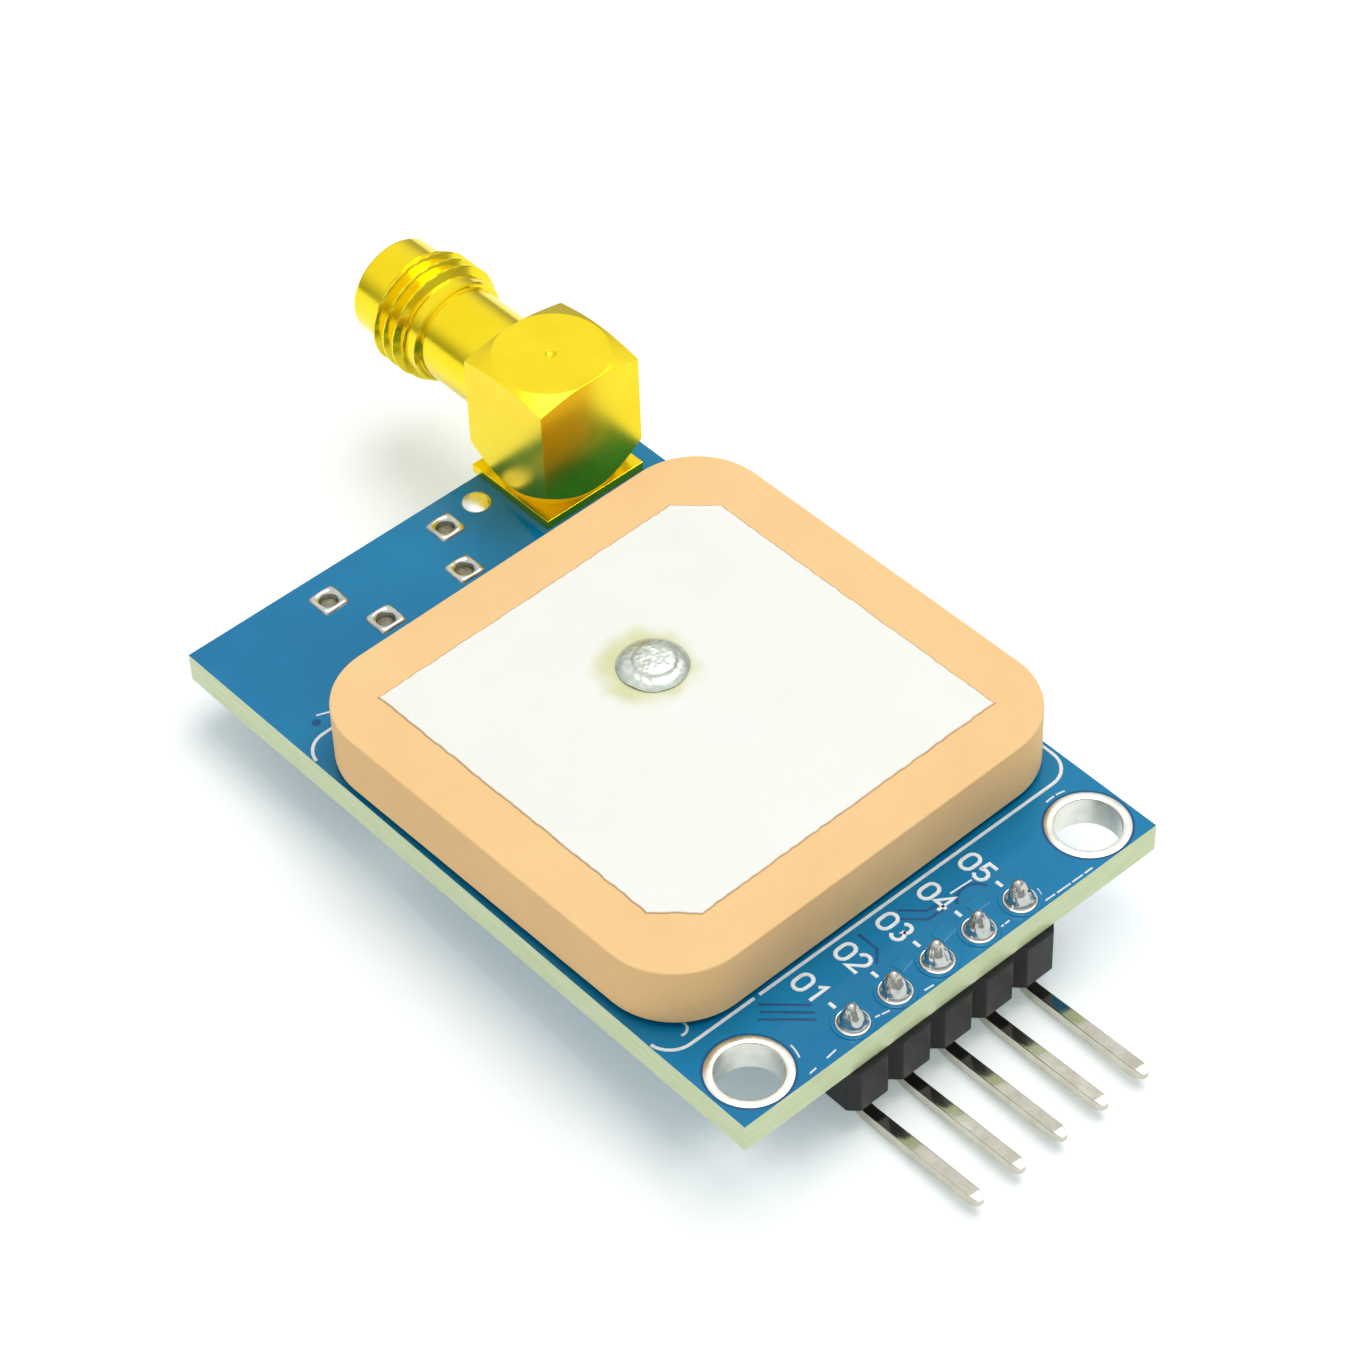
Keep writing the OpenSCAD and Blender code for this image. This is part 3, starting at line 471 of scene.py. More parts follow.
def ribbon(bm, path, width, rise, base=BOARD_TOP, closed=False):
    """Add a thin strip along a path in the board's plane; a negative rise hangs from the underside."""
    points = [Vector(p) for p in path]
    count = len(points)
    rows = []
    for i, p in enumerate(points):
        before = (p - points[i - 1]).normalized() if i or closed else None
        after = (points[(i + 1) % count] - p).normalized() if i + 1 < count or closed else None
        way = ((before or after) + (after or before)).normalized()
        mitre = max(MITRE_LIMIT, way.dot(after or before))
        side = Vector((-way.y, way.x)) * width / 2 / mitre
        top = side * RIBBON_TOP
        corners = ((p + side, 0), (p + top, rise), (p - top, rise), (p - side, 0))
        rows.append([bm.verts.new((q.x, q.y, base + h)) for q, h in corners])
    for one, two in list(zip(rows, rows[1:])) + ([(rows[-1], rows[0])] if closed else []):
        for k in range(4):
            n = (k + 1) % 4
            bm.faces.new((one[k], two[k], two[n], one[n]))
    if not closed:
        bm.faces.new(rows[0])
        bm.faces.new(rows[-1])
    return bm


def arc(x, y, radius, start, stop, steps=8):
    """Points along an arc, angles in degrees."""
    angles = [math.radians(start + (stop - start) * k / steps) for k in range(steps + 1)]
    return [(x + radius * math.cos(a), y + radius * math.sin(a)) for a in angles]


def ring_path(x, y, radius, count):
    """Points round a whole circle, for a closed ribbon."""
    return arc(x, y, radius, 0, 360 - 360 / count, count - 1)


# %% [markdown]
# ## Board, plated holes and pads
# The board's edges are broken by a hair. The plated mounting holes are lathe profiles: a straight bore
# with a rolled rim and a slightly domed tin land on both faces. The four square pads took a drop of
# solder each, so they are pillows that dip into their hole, which a dull brown-grey disc closes. A pad's
# steps are shares of the way from the hole to the edge, each with its rise over the land.

# %% Board and plated holes
BOARD_EDGE = 0.05
LAND_RING, BORE_SHOWN, HOLE_SIDES = 0.45, 0.6, 96
ROLL, ROLL_STEP = 0.1, 0.03
LAND_SLOPE, LAND_FALL, LAND_DROP = 0.16, 0.05, 0.02
soften("circuit_board", BOARD_EDGE, solder_mask)
for side in ("left", "right"):
    node = "plated_hole_" + side
    low, high, mid = place(node)
    outer = (high.x - low.x) / 2
    bore = outer - LAND_RING
    top = [(bore, high.z - BORE_SHOWN), (bore, high.z - ROLL), (bore + ROLL_STEP, high.z - ROLL_STEP),
           (bore + ROLL, high.z), (outer - LAND_SLOPE, high.z), (outer - LAND_FALL, high.z - LAND_DROP),
           (outer, BOARD_TOP)]
    under = [(r, BOARD_TOP + BOARD_UNDER - z) for r, z in reversed(top)]
    bm = lathe(bmesh.new(), top + under, mid, HOLE_SIDES, closed=True)
    piece(node + "_rolled", bm, tinned_land, [node], smooth=40)


# %% Solder-wet pads
def squarish(half, angle, power=7):
    """Distance from the middle of a square with soft corners to its edge at an angle."""
    return half / (abs(math.cos(angle)) ** power + abs(math.sin(angle)) ** power) ** (1 / power)


PAD_HOLE = 0.42
PAD_SIDES, HOLE_FILL_SIDES = 72, 32
PAD_RIPPLE, RIPPLE_SCALE = 0.035, 1.4
PAD_STEPS = ((0.0, -0.5), (0.0, -0.06), (0.08, 0.01), (0.25, 0.07), (0.5, 0.11), (0.75, 0.09),
             (0.92, 0.03), (1.0, -0.05))
POINT = 0.01
# A shallow dull brown-grey dome closes each pad's hole, below the pad's top.
HOLE_FILL_PROFILE = ((PAD_HOLE, -0.3), (0.32, -0.24), (0.14, -0.2), (POINT, -0.19))
plugs = bmesh.new()
for number in range(1, 5):
    node = f"data_socket_pad_{number}"
    low, high, mid = place(node)
    half = (high.x - low.x) / 2
    rings = []
    for share, rise in PAD_STEPS:
        ring = []
        for i in range(PAD_SIDES):
            angle = FULL * i / PAD_SIDES
            reach = PAD_HOLE + (squarish(half, angle) - PAD_HOLE) * share
            x, y = mid.x + reach * math.cos(angle), mid.y + reach * math.sin(angle)
            wave = PAD_RIPPLE * noise.noise(Vector((x, y, number)) * RIPPLE_SCALE) if 0 < share < 1 else 0
            ring.append(Vector((x, y, high.z + rise + wave)))
        rings.append(ring)
    piece(node + "_wet", skin_rings(bmesh.new(), rings), solder, [node], smooth=60)
    lathe(plugs, [(r, high.z + z) for r, z in HOLE_FILL_PROFILE], mid, HOLE_FILL_SIDES)
piece("pad_hole_fill", plugs, dull_hole_fill, smooth=60)

# %% Round pad
CROWN, CROWN_STEPS, CROWN_SIDES = 0.05, 10, 48
low, high, mid = place("test_pad")
radius = (high.x - low.x) / 2
tall = high.z - low.z + CROWN
quarter = [math.pi / 2 * k / CROWN_STEPS for k in range(CROWN_STEPS + 1)]
profile = [(max(radius * math.cos(a), POINT), low.z + tall * math.sin(a)) for a in quarter]
bm = lathe(bmesh.new(), profile, mid, CROWN_SIDES)
piece("test_pad_wet", bm, tinned_land, ["test_pad"], smooth=60)

# %% [markdown]
# ## Pin header
# The moulded strip keeps its form with rounded edges. Each pin is a square wire with rounded corners,
# swept down through the strip, round its bend and out to a tapered tip. Sweeping one section along a
# path in the upright plane gives the bend a clean flow that facets would spoil.

# %% Header strip
STRIP_EDGE = 0.07
soften("header_strip", STRIP_EDGE, header_plastic)
strip_low, strip_high, strip_mid = place("header_strip")
PIN_WIDTH, PIN_ROUND = 0.64, 0.07
TAPER, TIP_SHARE = 0.5, 0.5
TIP_ROUND, TIP_SHORT, TIP_END = 0.06, 0.02, 0.8
BEND_RADIUS, BEND_STEPS = 1.1, 16
PIN_LIFT = math.radians(2)


# %% Header pins
def wire_section(width, corner, steps=3):
    """Corner points of a square wire's section, with rounded corners, round its middle."""
    inner = width / 2 - corner
    quarters = ((1, 1, 0), (-1, 1, 90), (-1, -1, 180), (1, -1, 270))
    return [p for sx, sy, start in quarters
            for p in arc(sx * inner, sy * inner, corner, start, start + 90, steps)]


def pin_stations(node):
    """Points of a pin's path in the upright plane, each with its heading and the section's scale."""
    low, high, mid = place(node)
    down, row = -math.pi / 2, strip_mid.y
    stations = [((row, high.z), down, TIP_SHARE), ((row, high.z - TAPER), down, 1),
                ((row, strip_low.z), down, 1)]
    for k in range(1, BEND_STEPS + 1):
        a = (math.pi / 2 + PIN_LIFT) * k / BEND_STEPS
        point = (row - BEND_RADIUS + BEND_RADIUS * math.cos(a), strip_low.z - BEND_RADIUS * math.sin(a))
        stations.append((point, down - a, 1))
    (y, z), heading, scale = stations[-1]
    for short, share in ((TAPER, 1), (TIP_ROUND, TIP_SHARE), (TIP_SHORT, TIP_SHARE * TIP_END)):
        along = (y - low.y - short) / math.cos(PIN_LIFT)
        stations.append(((y + along * math.cos(heading), z + along * math.sin(heading)), heading, share))
    return stations


for number, x in enumerate(pin_x, 1):
    node = f"header_pin_{number}"
    rings = []
    for (y, z), heading, share in pin_stations(node):
        along, rise = -math.sin(heading) * share, math.cos(heading) * share
        rings.append([Vector((x + u * share, y + along * v, z + rise * v))
                      for u, v in wire_section(PIN_WIDTH, PIN_ROUND)])
    bm = skin_rings(bmesh.new(), rings, caps=(True, True))
    piece(node + "_drawn", bm, tinned_pin, [node], smooth=40)

# %% [markdown]
# ## Solder cones
# Hand-fed solder climbs each pin and freezes as a bullet: a thin foot that wets the land, a waist,
# flanks with faint ridges over the pin's corners, and a blunt leaning tip. Each is a stack of rings
# whose radius blends from round to the pin's square and is disturbed by a seeded noise.

# %% Header solder
CONE_RINGS, CONE_SIDES, CONE_CROWD = 36, 64, 1.15
CONE_SEED, CONE_APART = 3, 7.3
LAND_COVER = 0.12
RIM, RIM_RISE, RIM_ROUND = 0.05, 0.06, 0.02
RIDGE, LUMP, LUMP_SCALE, LUMP_STRETCH = 0.1, 0.13, 1.3, 0.8
CONE_SHAPE = ((0.0, 0.9), (0.05, 0.83), (0.14, 0.76), (0.3, 0.68), (0.5, 0.56), (0.7, 0.42), (0.86, 0.29),
              (0.95, 0.19), (0.99, 0.09), (1.0, 0.02))


def cone_share(h):
    """Share of the foot's radius that a solder bullet has at a share of its height."""
    for (h0, r0), (h1, r1) in zip(CONE_SHAPE, CONE_SHAPE[1:]):
        if h <= h1:
            return r0 + (r1 - r0) * (h - h0) / (h1 - h0)


for number in range(1, HEADER_WAYS + 1):
    node = f"header_solder_{number}"
    low, high, mid = place(node)
    foot = (high.x - low.x) / 2 - LAND_COVER
    foot_z = BOARD_TOP + RIM_RISE
    draw = random.Random(number + CONE_SEED)
    lean = Vector((draw.uniform(-0.1, 0.0), draw.uniform(0.02, 0.12)))
    twist = draw.uniform(0.2, 0.8)
    inner = foot - RIM_ROUND
    rim = ((foot, BOARD_TOP - RIM_ROUND), (foot, foot_z - RIM_ROUND), (inner, foot_z),
           (foot - RIM, foot_z - RIM_ROUND / 2))
    rings = [circle(r, z, mid, CONE_SIDES) for r, z in rim]
    for k in range(CONE_RINGS + 1):
        h = (k / CONE_RINGS) ** CONE_CROWD
        ring = []
        for i in range(CONE_SIDES):
            angle = FULL * i / CONE_SIDES
            ridge = 1 + RIDGE * min(1, h * 2) * abs(math.cos(2 * (angle + twist)))
            spot = Vector((math.cos(angle), math.sin(angle), h * LUMP_STRETCH + number * CONE_APART))
            lump = 1 + LUMP * noise.noise(spot * LUMP_SCALE) * min(1, h * 4)
            reach = inner * cone_share(h) * ridge * lump
            ring.append(Vector((mid.x + lean.x * h + reach * math.cos(angle),
                                mid.y + lean.y * h + reach * math.sin(angle),
                                foot_z + (high.z - foot_z) * h)))
        rings.append(ring)
    bm = skin_rings(bmesh.new(), rings, caps=(False, True))
    piece(node + "_flowed", bm, solder, [node], smooth=60)

# %% [markdown]
# ## Patch antenna
# The block is pressed and fired, so its edges are barely rounded. The printed electrode has the
# slightly ragged outline of a screen mesh: small steps along every side. It is drawn as one outline
# with seeded teeth, lifted by the paste's thickness and closed with a thin slope at the edge.

# %% Ceramic block and its layers
BLOCK_EDGE = 0.1
soften("ceramic_block", BLOCK_EDGE, antenna_ceramic, segments=3)
# The sheet's near-black finish is partly painted shade for the gap under the block.
dress("adhesive_sheet", adhesive_and_shade)
dress("ground_electrode", ground_silver)
PATCH_TURN = Matrix.Rotation(math.radians(0.75), 2)
ELECTRODE_SIDE, ELECTRODE_CUT = 19.6, 1.7
TOOTH, RAGGED, TEETH_SEED = 0.3, 0.06, 11
PASTE_EDGE, PASTE_SHOULDER, PASTE_TOP = 0.015, 0.9985, 0.996
low, high, mid = place("top_electrode")
half = ELECTRODE_SIDE / 2
cut = half - ELECTRODE_CUT
corners = [(-half, half), (-half, -cut), (-cut, -half), (half, -half), (half, cut), (cut, half)]
draw = random.Random(TEETH_SEED)
outline = []
for (x0, y0), (x1, y1) in zip(corners, corners[1:] + corners[:1]):
    run = math.hypot(x1 - x0, y1 - y0)
    steps = max(2, round(run / TOOTH))
    for k in range(steps):
        inset = draw.uniform(0, RAGGED) if k else 0
        spot = Vector((x0 + (x1 - x0) * k / steps - (y1 - y0) / run * inset,
                       y0 + (y1 - y0) * k / steps + (x1 - x0) / run * inset))
        outline.append(PATCH_TURN @ spot)


def patch_ring(share, z):
    """The electrode's outline, drawn in by a share, at a height."""
    return [Vector((mid.x + p.x * share, mid.y + p.y * share, z)) for p in outline]


rings = [patch_ring(1, low.z), patch_ring(PASTE_SHOULDER, high.z - PASTE_EDGE),
         patch_ring(PASTE_TOP, high.z)]
bm = skin_rings(bmesh.new(), rings, caps=(True, True))
piece("top_electrode_printed", bm, fired_silver, ["top_electrode"], smooth=20)
# A thin brownish ring along the electrode's edge, on the ceramic.
EDGE_RING_WIDTH, EDGE_RING_RISE = 0.12, 0.012
edge_ring_path = [(mid.x + p.x, mid.y + p.y) for p in outline]
piece("electrode_edge_ring", ribbon(bmesh.new(), edge_ring_path, EDGE_RING_WIDTH, EDGE_RING_RISE, low.z, closed=True), brown_edge_ring)

# %% [markdown]
# ## Feed joint
# The feed pin has a flat nail head, and the solder lies over it as a low pillow: the head shows as a
# round rise with a shallow moat behind it, and the skirt runs out to a thin, wavy edge. It is a polar
# grid whose height follows a radial profile, disturbed by a wrinkle noise.

# %% Feed dome
DOME_RINGS, DOME_SIDES = 40, 96
HEAD_RADIUS, HEAD_EDGE = 1.02, 0.03
HEAD_SHIFT = -0.12
SKIRT_RISE, SKIRT_POWER, HEAD_RISE, CROWN_RISE = 0.72, 4.5, 0.16, 0.1
WRINKLES = ((0.06, 1.3), (0.05, 4.5))
WRINKLE_SLICE, EDGE_SLICE, EDGE_WAVE = 3.1, 9, 0.03
CORE = 0.01
radius = (dome_high.x - dome_low.x) / 2
tall = dome_high.z - dome_low.z


def dome_rise(x, y):
    """Height of the joint over the electrode at a place measured from its middle."""
    out = math.hypot(x, y) / radius
    head_out = math.hypot(x, y - HEAD_SHIFT)
    skirt = SKIRT_RISE * max(0.0, 1 - out ** SKIRT_POWER)
    head = HEAD_RISE / (1 + math.exp((head_out - HEAD_RADIUS) / HEAD_EDGE))
    crown = CROWN_RISE * max(0.0, 1 - (head_out / HEAD_RADIUS) ** 2)
    spot = Vector((x, y, WRINKLE_SLICE))
    wrinkle = sum(depth * noise.noise(spot * scale) for depth, scale in WRINKLES)
    return tall * min(1.0, max(0.0, skirt + head + crown + wrinkle * (1 - out ** 6)))


rings = []
for k in range(DOME_RINGS + 1):
    share = 1 - (1 - CORE) * k / DOME_RINGS
    ring = []
    for i in range(DOME_SIDES):
        angle = FULL * i / DOME_SIDES
        spot = Vector((math.cos(angle) * 2, math.sin(angle) * 2, EDGE_SLICE))
        edge = 1 - EDGE_WAVE + EDGE_WAVE * noise.noise(spot)
        x, y = (radius * share * edge * f(angle) for f in (math.cos, math.sin))
        ring.append(Vector((dome_mid.x + x, dome_mid.y + y, dome_low.z + dome_rise(x, y))))
    rings.append(ring)
bm = skin_rings(bmesh.new(), rings, caps=(True, True))
piece("feed_solder_top_flowed", bm, frosted_solder, ["feed_solder_top"], smooth=60)
dress("feed_pin", gilt_contact)

# %% [markdown]
# ## Aerial socket
# The elbow is a square bar turned at both ends; its copy only needs broken edges. The barrel is drawn
# anew, because its thread is a helix: 36 turns to the inch, cut between a plain shoulder and the plain
# collar. Every ring of the barrel holds its own radius for every angle, so the groove winds round it.

# %% Elbow
ELBOW_EDGE = 0.09
soften("coax_elbow", ELBOW_EDGE, milled_gilt, segments=2, angle=25, smooth=14)
elbow_high, elbow_mid = place("coax_elbow")[1:]

# %% Barrel with its thread
PITCH, THREAD_DEPTH = 25.4 / 36, 0.43
CREST_FLAT, THREAD_PHASE = 0.14, 0.173
NECK, SHOULDER, THREAD, COLLAR = 2.45, 2.75, 3.125, 2.6
NECK_LONG, SHOULDER_LONG, COLLAR_LONG = 4.25, 0.7, 1.9
MOUTH, BORE, RUN_OUT = 2.3, 2.05, 0.12
BARREL_SIDES, THREAD_STEPS = 144, 90
FILLET, SHOULDER_BREAK, STEP = 0.05, 0.1, 0.01
RELIEF_LONG, RELIEF_DEEP = 0.06, 0.04
COLLAR_BREAK, COLLAR_ROUND, MOUTH_BREAK, CONTACT_EDGE = 0.14, 0.04, 0.06, 0.03
low, high, mid = place("coax_barrel")
axis_x, axis_z = elbow_mid.x, mid.z
end = high.y
thread_end = end - COLLAR_LONG
shoulder_start = elbow_high.y + NECK_LONG
thread_start = shoulder_start + SHOULDER_LONG


def thread_radius(y, angle):
    """Radius of the thread's flank at a distance along the barrel and an angle round it."""
    turn = (y / PITCH - angle / FULL + THREAD_PHASE) % 1
    groove = min(1, max(0, (abs(turn - 0.5) * 2 - CREST_FLAT) / (1 - 2 * CREST_FLAT)))
    inside = min(1, (y - thread_start) / RUN_OUT, (thread_end - y) / RUN_OUT)
    return THREAD - max((THREAD - SHOULDER) * (1 - inside), THREAD_DEPTH * groove)


def barrel_ring(y, radius):
    """A ring of the barrel; the radius is a number or a function of place and angle."""
    angles = [FULL * i / BARREL_SIDES for i in range(BARREL_SIDES)]
    reach = [radius(y, a) if callable(radius) else radius for a in angles]
    return [Vector((axis_x + r * math.cos(a), y, axis_z + r * math.sin(a))) for r, a in zip(reach, angles)]


stations = [(low.y, BORE), (low.y, NECK), (shoulder_start - FILLET, NECK),
            (shoulder_start, NECK + FILLET), (shoulder_start + STEP, SHOULDER - SHOULDER_BREAK),
            (shoulder_start + SHOULDER_BREAK, SHOULDER),
            (thread_start - RELIEF_LONG, SHOULDER), (thread_start - STEP, SHOULDER - RELIEF_DEEP)]
stations += [(thread_start + (thread_end - thread_start) * k / THREAD_STEPS, thread_radius)
             for k in range(THREAD_STEPS + 1)]
stations += [(thread_end + 2 * STEP, COLLAR), (end - COLLAR_BREAK, COLLAR),
             (end - COLLAR_ROUND, COLLAR - COLLAR_ROUND), (end, COLLAR - COLLAR_BREAK),
             (end, MOUTH + MOUTH_BREAK), (end - MOUTH_BREAK, MOUTH), (thread_end, MOUTH), (thread_end, BORE)]
bm = skin_rings(bmesh.new(), [barrel_ring(y, r) for y, r in stations], closed=True)
piece("coax_barrel_threaded", bm, gilt_brass, ["coax_barrel"], smooth=38)
soften("coax_contact", CONTACT_EDGE, gilt_contact)
dress("coax_insulator", insulator)
dress("coax_foot_insulator", insulator)
dress("coax_foot_pin", gilt_contact)

# %% [markdown]
# ## Joints under the board
# The legs of the elbow, its foot pin and the feed pin end in wetted joints on the underside: a thin
# land, a concave fillet and the post in its middle. The fillet's curve is a quarter of an ellipse.

# %% Underside joints
JOINTS = ["feed_solder_bottom", "coax_pin_solder"] + [f"coax_leg_solder_{i}" for i in range(1, 5)]
JOINT_LAND, JOINT_SIDES, JOINT_STEPS = 0.38, 40, 12
WET_EDGE, WET_THICK, JOINT_TIP = 0.03, 0.05, 0.02
for node in JOINTS:
    low, high, mid = place(node)
    foot, tall = (high.x - low.x) / 2, -low.z
    core, inner = foot - JOINT_LAND, foot - WET_EDGE
    profile = [(foot, 0.0), (foot, -WET_EDGE), (inner, -WET_THICK)]
    for k in range(1, JOINT_STEPS + 1):
        a = math.pi / 2 * k / JOINT_STEPS
        fall = -WET_THICK - (tall - WET_THICK) * (1 - math.cos(a))
        profile.append((inner - (inner - core) * math.sin(a), fall))
    profile.append((JOINT_TIP, -tall - WET_EDGE))
    bm = lathe(bmesh.new(), profile, mid, JOINT_SIDES, (False, True))
    piece(node + "_wet", bm, solder, [node], smooth=60)

# %% [markdown]
# ## Data socket and receiver
# The folded steel shell, the moulded tongue and the shield can keep their solids' form with rounded
# folds. The carrier gets the gilt half-rounds of its castellations. Each row of the table names a
# solid, the rounding of its edges in millimetres, its finish and its slot.

# %% Data socket, carrier, can and chips
SOFT = (("data_socket_shell", 0.06, nickel_steel, "nickel_steel"),
        ("data_socket_tongue", 0.05, black_mould, "black_mould"),
        ("data_socket_contacts", 0.03, gilt_contact, "gilt_brass"),
        ("receiver_carrier", 0.03, carrier_laminate, "carrier_laminate"),
        ("receiver_can", 0.16, can_steel, "nickel_steel"),
        ("receiver_chip", 0.07, black_mould, "black_mould"),
        ("reference_crystal", 0.07, nickel_steel, "nickel_steel"),
        ("front_end_filter", 0.05, filter_ceramic, "filter_ceramic"),
        ("memory_chip", 0.06, black_mould, "black_mould"),
        ("regulator_body", 0.07, black_mould, "black_mould"),
        ("regulator_leads", 0.03, tinned_pin, "tinned_pin"),
        ("backup_cell", 0.12, nickel_steel, "nickel_steel"),
        ("cell_tab_inner", 0.03, nickel_steel, "nickel_steel"),
        ("cell_tab_outer", 0.03, nickel_steel, "nickel_steel"))
for node, width, finish, slot in SOFT:
    soften(node, width, finish, segments=3)
CASTLES, CASTLE_PITCH, CASTLE_RADIUS, PLATING = 12, 1.1, 0.3, 0.05
CASTLE_STEPS = 10
low, high, mid = place("receiver_carrier")
bm = bmesh.new()
for edge_y, start in ((low.y, 0), (high.y, 180)):
    for i in range(CASTLES):
        x = mid.x + (i - (CASTLES - 1) / 2) * CASTLE_PITCH
        inner = arc(x, edge_y, CASTLE_RADIUS - PLATING, start, start + 180, CASTLE_STEPS)
        outer = arc(x, edge_y, CASTLE_RADIUS, start, start + 180, CASTLE_STEPS)
        rings = [[Vector((*a, low.z)), Vector((*b, low.z)), Vector((*b, high.z)), Vector((*a, high.z))]
                 for a, b in zip(inner, outer)]
        skin_rings(bm, rings, caps=(True, True))
piece("carrier_castellations", bm, gilt_contact)


# %% [markdown]
# ## Chip parts
# A chip capacitor or resistor is a small brick whose two ends are dipped in metal. The brick keeps its
# solid's form; the end caps are two more bricks, a hair larger, so that they wrap its ends. The caps
# of an indicator lamp stay low, so that its resin shows above them.


# %% Chip parts with end caps
def block(bm, low, high, rounding):
    """Add a box with rounded edges between two corners."""
    made = bmesh.ops.create_cube(bm, size=1)["verts"]
    bmesh.ops.scale(bm, vec=high - low, verts=made)
    bmesh.ops.translate(bm, vec=(high + low) / 2, verts=made)
    edges = {e for v in made for e in v.link_edges}
    bmesh.ops.bevel(bm, geom=list(edges), offset=rounding, segments=2, profile=0.5, affect="EDGES")


CAP_SHARE, CAP_SWELL = 0.2, 0.02
LAND_SPREAD, LAND_DEEP = 0.12, -0.035
CHIP_EDGE, LAND_EDGE, LAMP_CAP_DEEP = 0.05, 0.012, -0.35
lands = bmesh.new()
CHIPS = [(f"chip_capacitor_{i}", capacitor_ceramic, "capacitor_ceramic") for i in (1, 2, 3)]
CHIPS += [(f"chip_resistor_{i}", resistor_glaze, "resistor_glaze") for i in (1, 2)]
CHIPS += [(f"status_lamp_{i}", lamp_resin, "lamp_resin") for i in (1, 2)]
for node, finish, slot in CHIPS:
    soften(node, CHIP_EDGE, finish)
    low, high, mid = place(node)
    swell = Vector((CAP_SWELL, CAP_SWELL, CAP_SWELL))
    axis = 0 if high.x - low.x > high.y - low.y else 1
    bm = bmesh.new()
    for one_end in (True, False):
        a, b = low - swell, high + swell
        b.z = BOARD_UNDER
        if node.startswith("status_lamp"):
            a.z = LAMP_CAP_DEEP
        reach = (high[axis] - low[axis]) * CAP_SHARE
        if one_end:
            b[axis] = low[axis] + reach
        else:
            a[axis] = high[axis] - reach
        block(bm, a, b, CHIP_EDGE)
        spread = Vector((LAND_SPREAD, LAND_SPREAD, 0))
        block(lands, Vector((a.x, a.y, LAND_DEEP)) - spread, b + spread, LAND_EDGE)
    piece(node + "_end_caps", bm, tinned_pin, smooth=35)
piece("chip_lands", lands, tinned_land, smooth=35)

# %% [markdown]
# ## Tracks under the mask
# Copper tracks run from the header to the receiver and on to its helpers. On top only a few show: three
# narrow gaps in the copper at the left of the header and some behind the pins, areas of copper between
# the pins and a ring round every land. They rise a few hundredths of a millimetre, as the mask follows
# the copper. A gap is drawn as a flat dark ribbon, because the solid's face cannot be cut.

# %% Tracks and rings on top
COPPER_RISE, GAP_RISE, RING_RISE = 0.02, 0.008, 0.05
RING_RADIUS, RING_WIDTH, RING_SIDES = 0.9, 0.2, 40
hole_left, hole_right = (place("plated_hole_" + side)[2].x for side in ("left", "right"))
AREAS = (([(0.72, -0.15), (1.75, 0.05)], 0.8), ([(2.95, 0.1), (3.9, 0.1)], 0.75),
         ([(-1.75, -0.2), (-1.0, 0.0)], 0.7))
bm = bmesh.new()
for path, width in AREAS:
    ribbon(bm, path, width, COPPER_RISE)
for x in pin_x:
    ribbon(bm, ring_path(x, strip_mid.y, RING_RADIUS, RING_SIDES), RING_WIDTH, RING_RISE, closed=True)
piece("copper_on_top", bm, masked_copper, smooth=40)

# %% Gaps in the copper on top
GAP_WIDTH = 0.16
GAPS = ([(-7.5, 2.45), (-5.85, 0.85)], [(-7.75, 2.1), (-6.05, 0.45)], [(-8.1, 1.85), (-6.25, 0.1)],
        [(0.6, 2.2), (1.5, 1.3), (2.3, 1.2)], [(0.2, 1.9), (1.2, 0.9), (2.1, 0.85)],
        arc(3.6, 0.2, 0.95, 20, 150), [(-1.6, 2.4), (-1.6, 1.2), (-2.2, 0.6)])
SPOT_X, SPOT_Y, SPOT_RADIUS, SPOT_WIDTH, SPOT_SIDES = -10.88, 28.77, 0.12, 0.2, 10
MOAT_RADIUS, MOAT_WIDTH, MOAT_SIDES = 2.04, 0.12, 60
bm = bmesh.new()
for path in GAPS:
    ribbon(bm, path, GAP_WIDTH, GAP_RISE)
ribbon(bm, ring_path(SPOT_X, SPOT_Y, SPOT_RADIUS, SPOT_SIDES), SPOT_WIDTH, GAP_RISE, closed=True)
for x in (hole_left, hole_right):
    ribbon(bm, ring_path(x, 0, MOAT_RADIUS, MOAT_SIDES), MOAT_WIDTH, GAP_RISE, closed=True)
piece("copper_gaps_on_top", bm, mask_gap, smooth=40)

# %% Tracks underneath
UNDER_RISE, TRACK_WIDTH, TRACK_TURN = -0.02, 0.3, 1.2
TRACKS = ([(-4.95, 15.9), (-4.95, 17.6), (-7.1, 19.75)], [(-3.85, 15.9), (-3.85, 27.5), (-5.4, 28.9)],
          [(4.95, 15.9), (4.95, 18.9), (5.6, 19.2)], [(6.05, 15.9), (6.05, 18.6)],
          [(3.85, 15.9), (3.85, 19.7)], [(2.75, 15.9), (2.75, 26.0), (7.2, 30.5), (7.2, 32.0)],
          [(-2.75, 15.9), (-2.75, 29.5), (-2.2, 30.5)], [(-1.65, 15.9), (-1.65, 30.6)],
          [(-0.55, 15.9), (-0.55, 29.8), (-1.1, 30.6)], [(-8.3, 29.9), (-9.1, 31.0)],
          [(-10.6, 29.9), (-11.0, 31.0)])
VIAS = ((9.2, 17.3), (9.2, 24.6), (-10.6, 18.2), (10.4, 12.4), (-10.2, 6.3), (10.2, 5.2), (0.9, 27.4),
        (4.3, 24.9))
VIA_PROFILE = ((0.42, 0.0), (0.38, -0.02), (0.24, -0.025), (0.16, -0.012), (POINT, -0.008))
VIA_SIDES = 24
carrier_low, carrier_mid = place("receiver_carrier")[::2]
bm = bmesh.new()
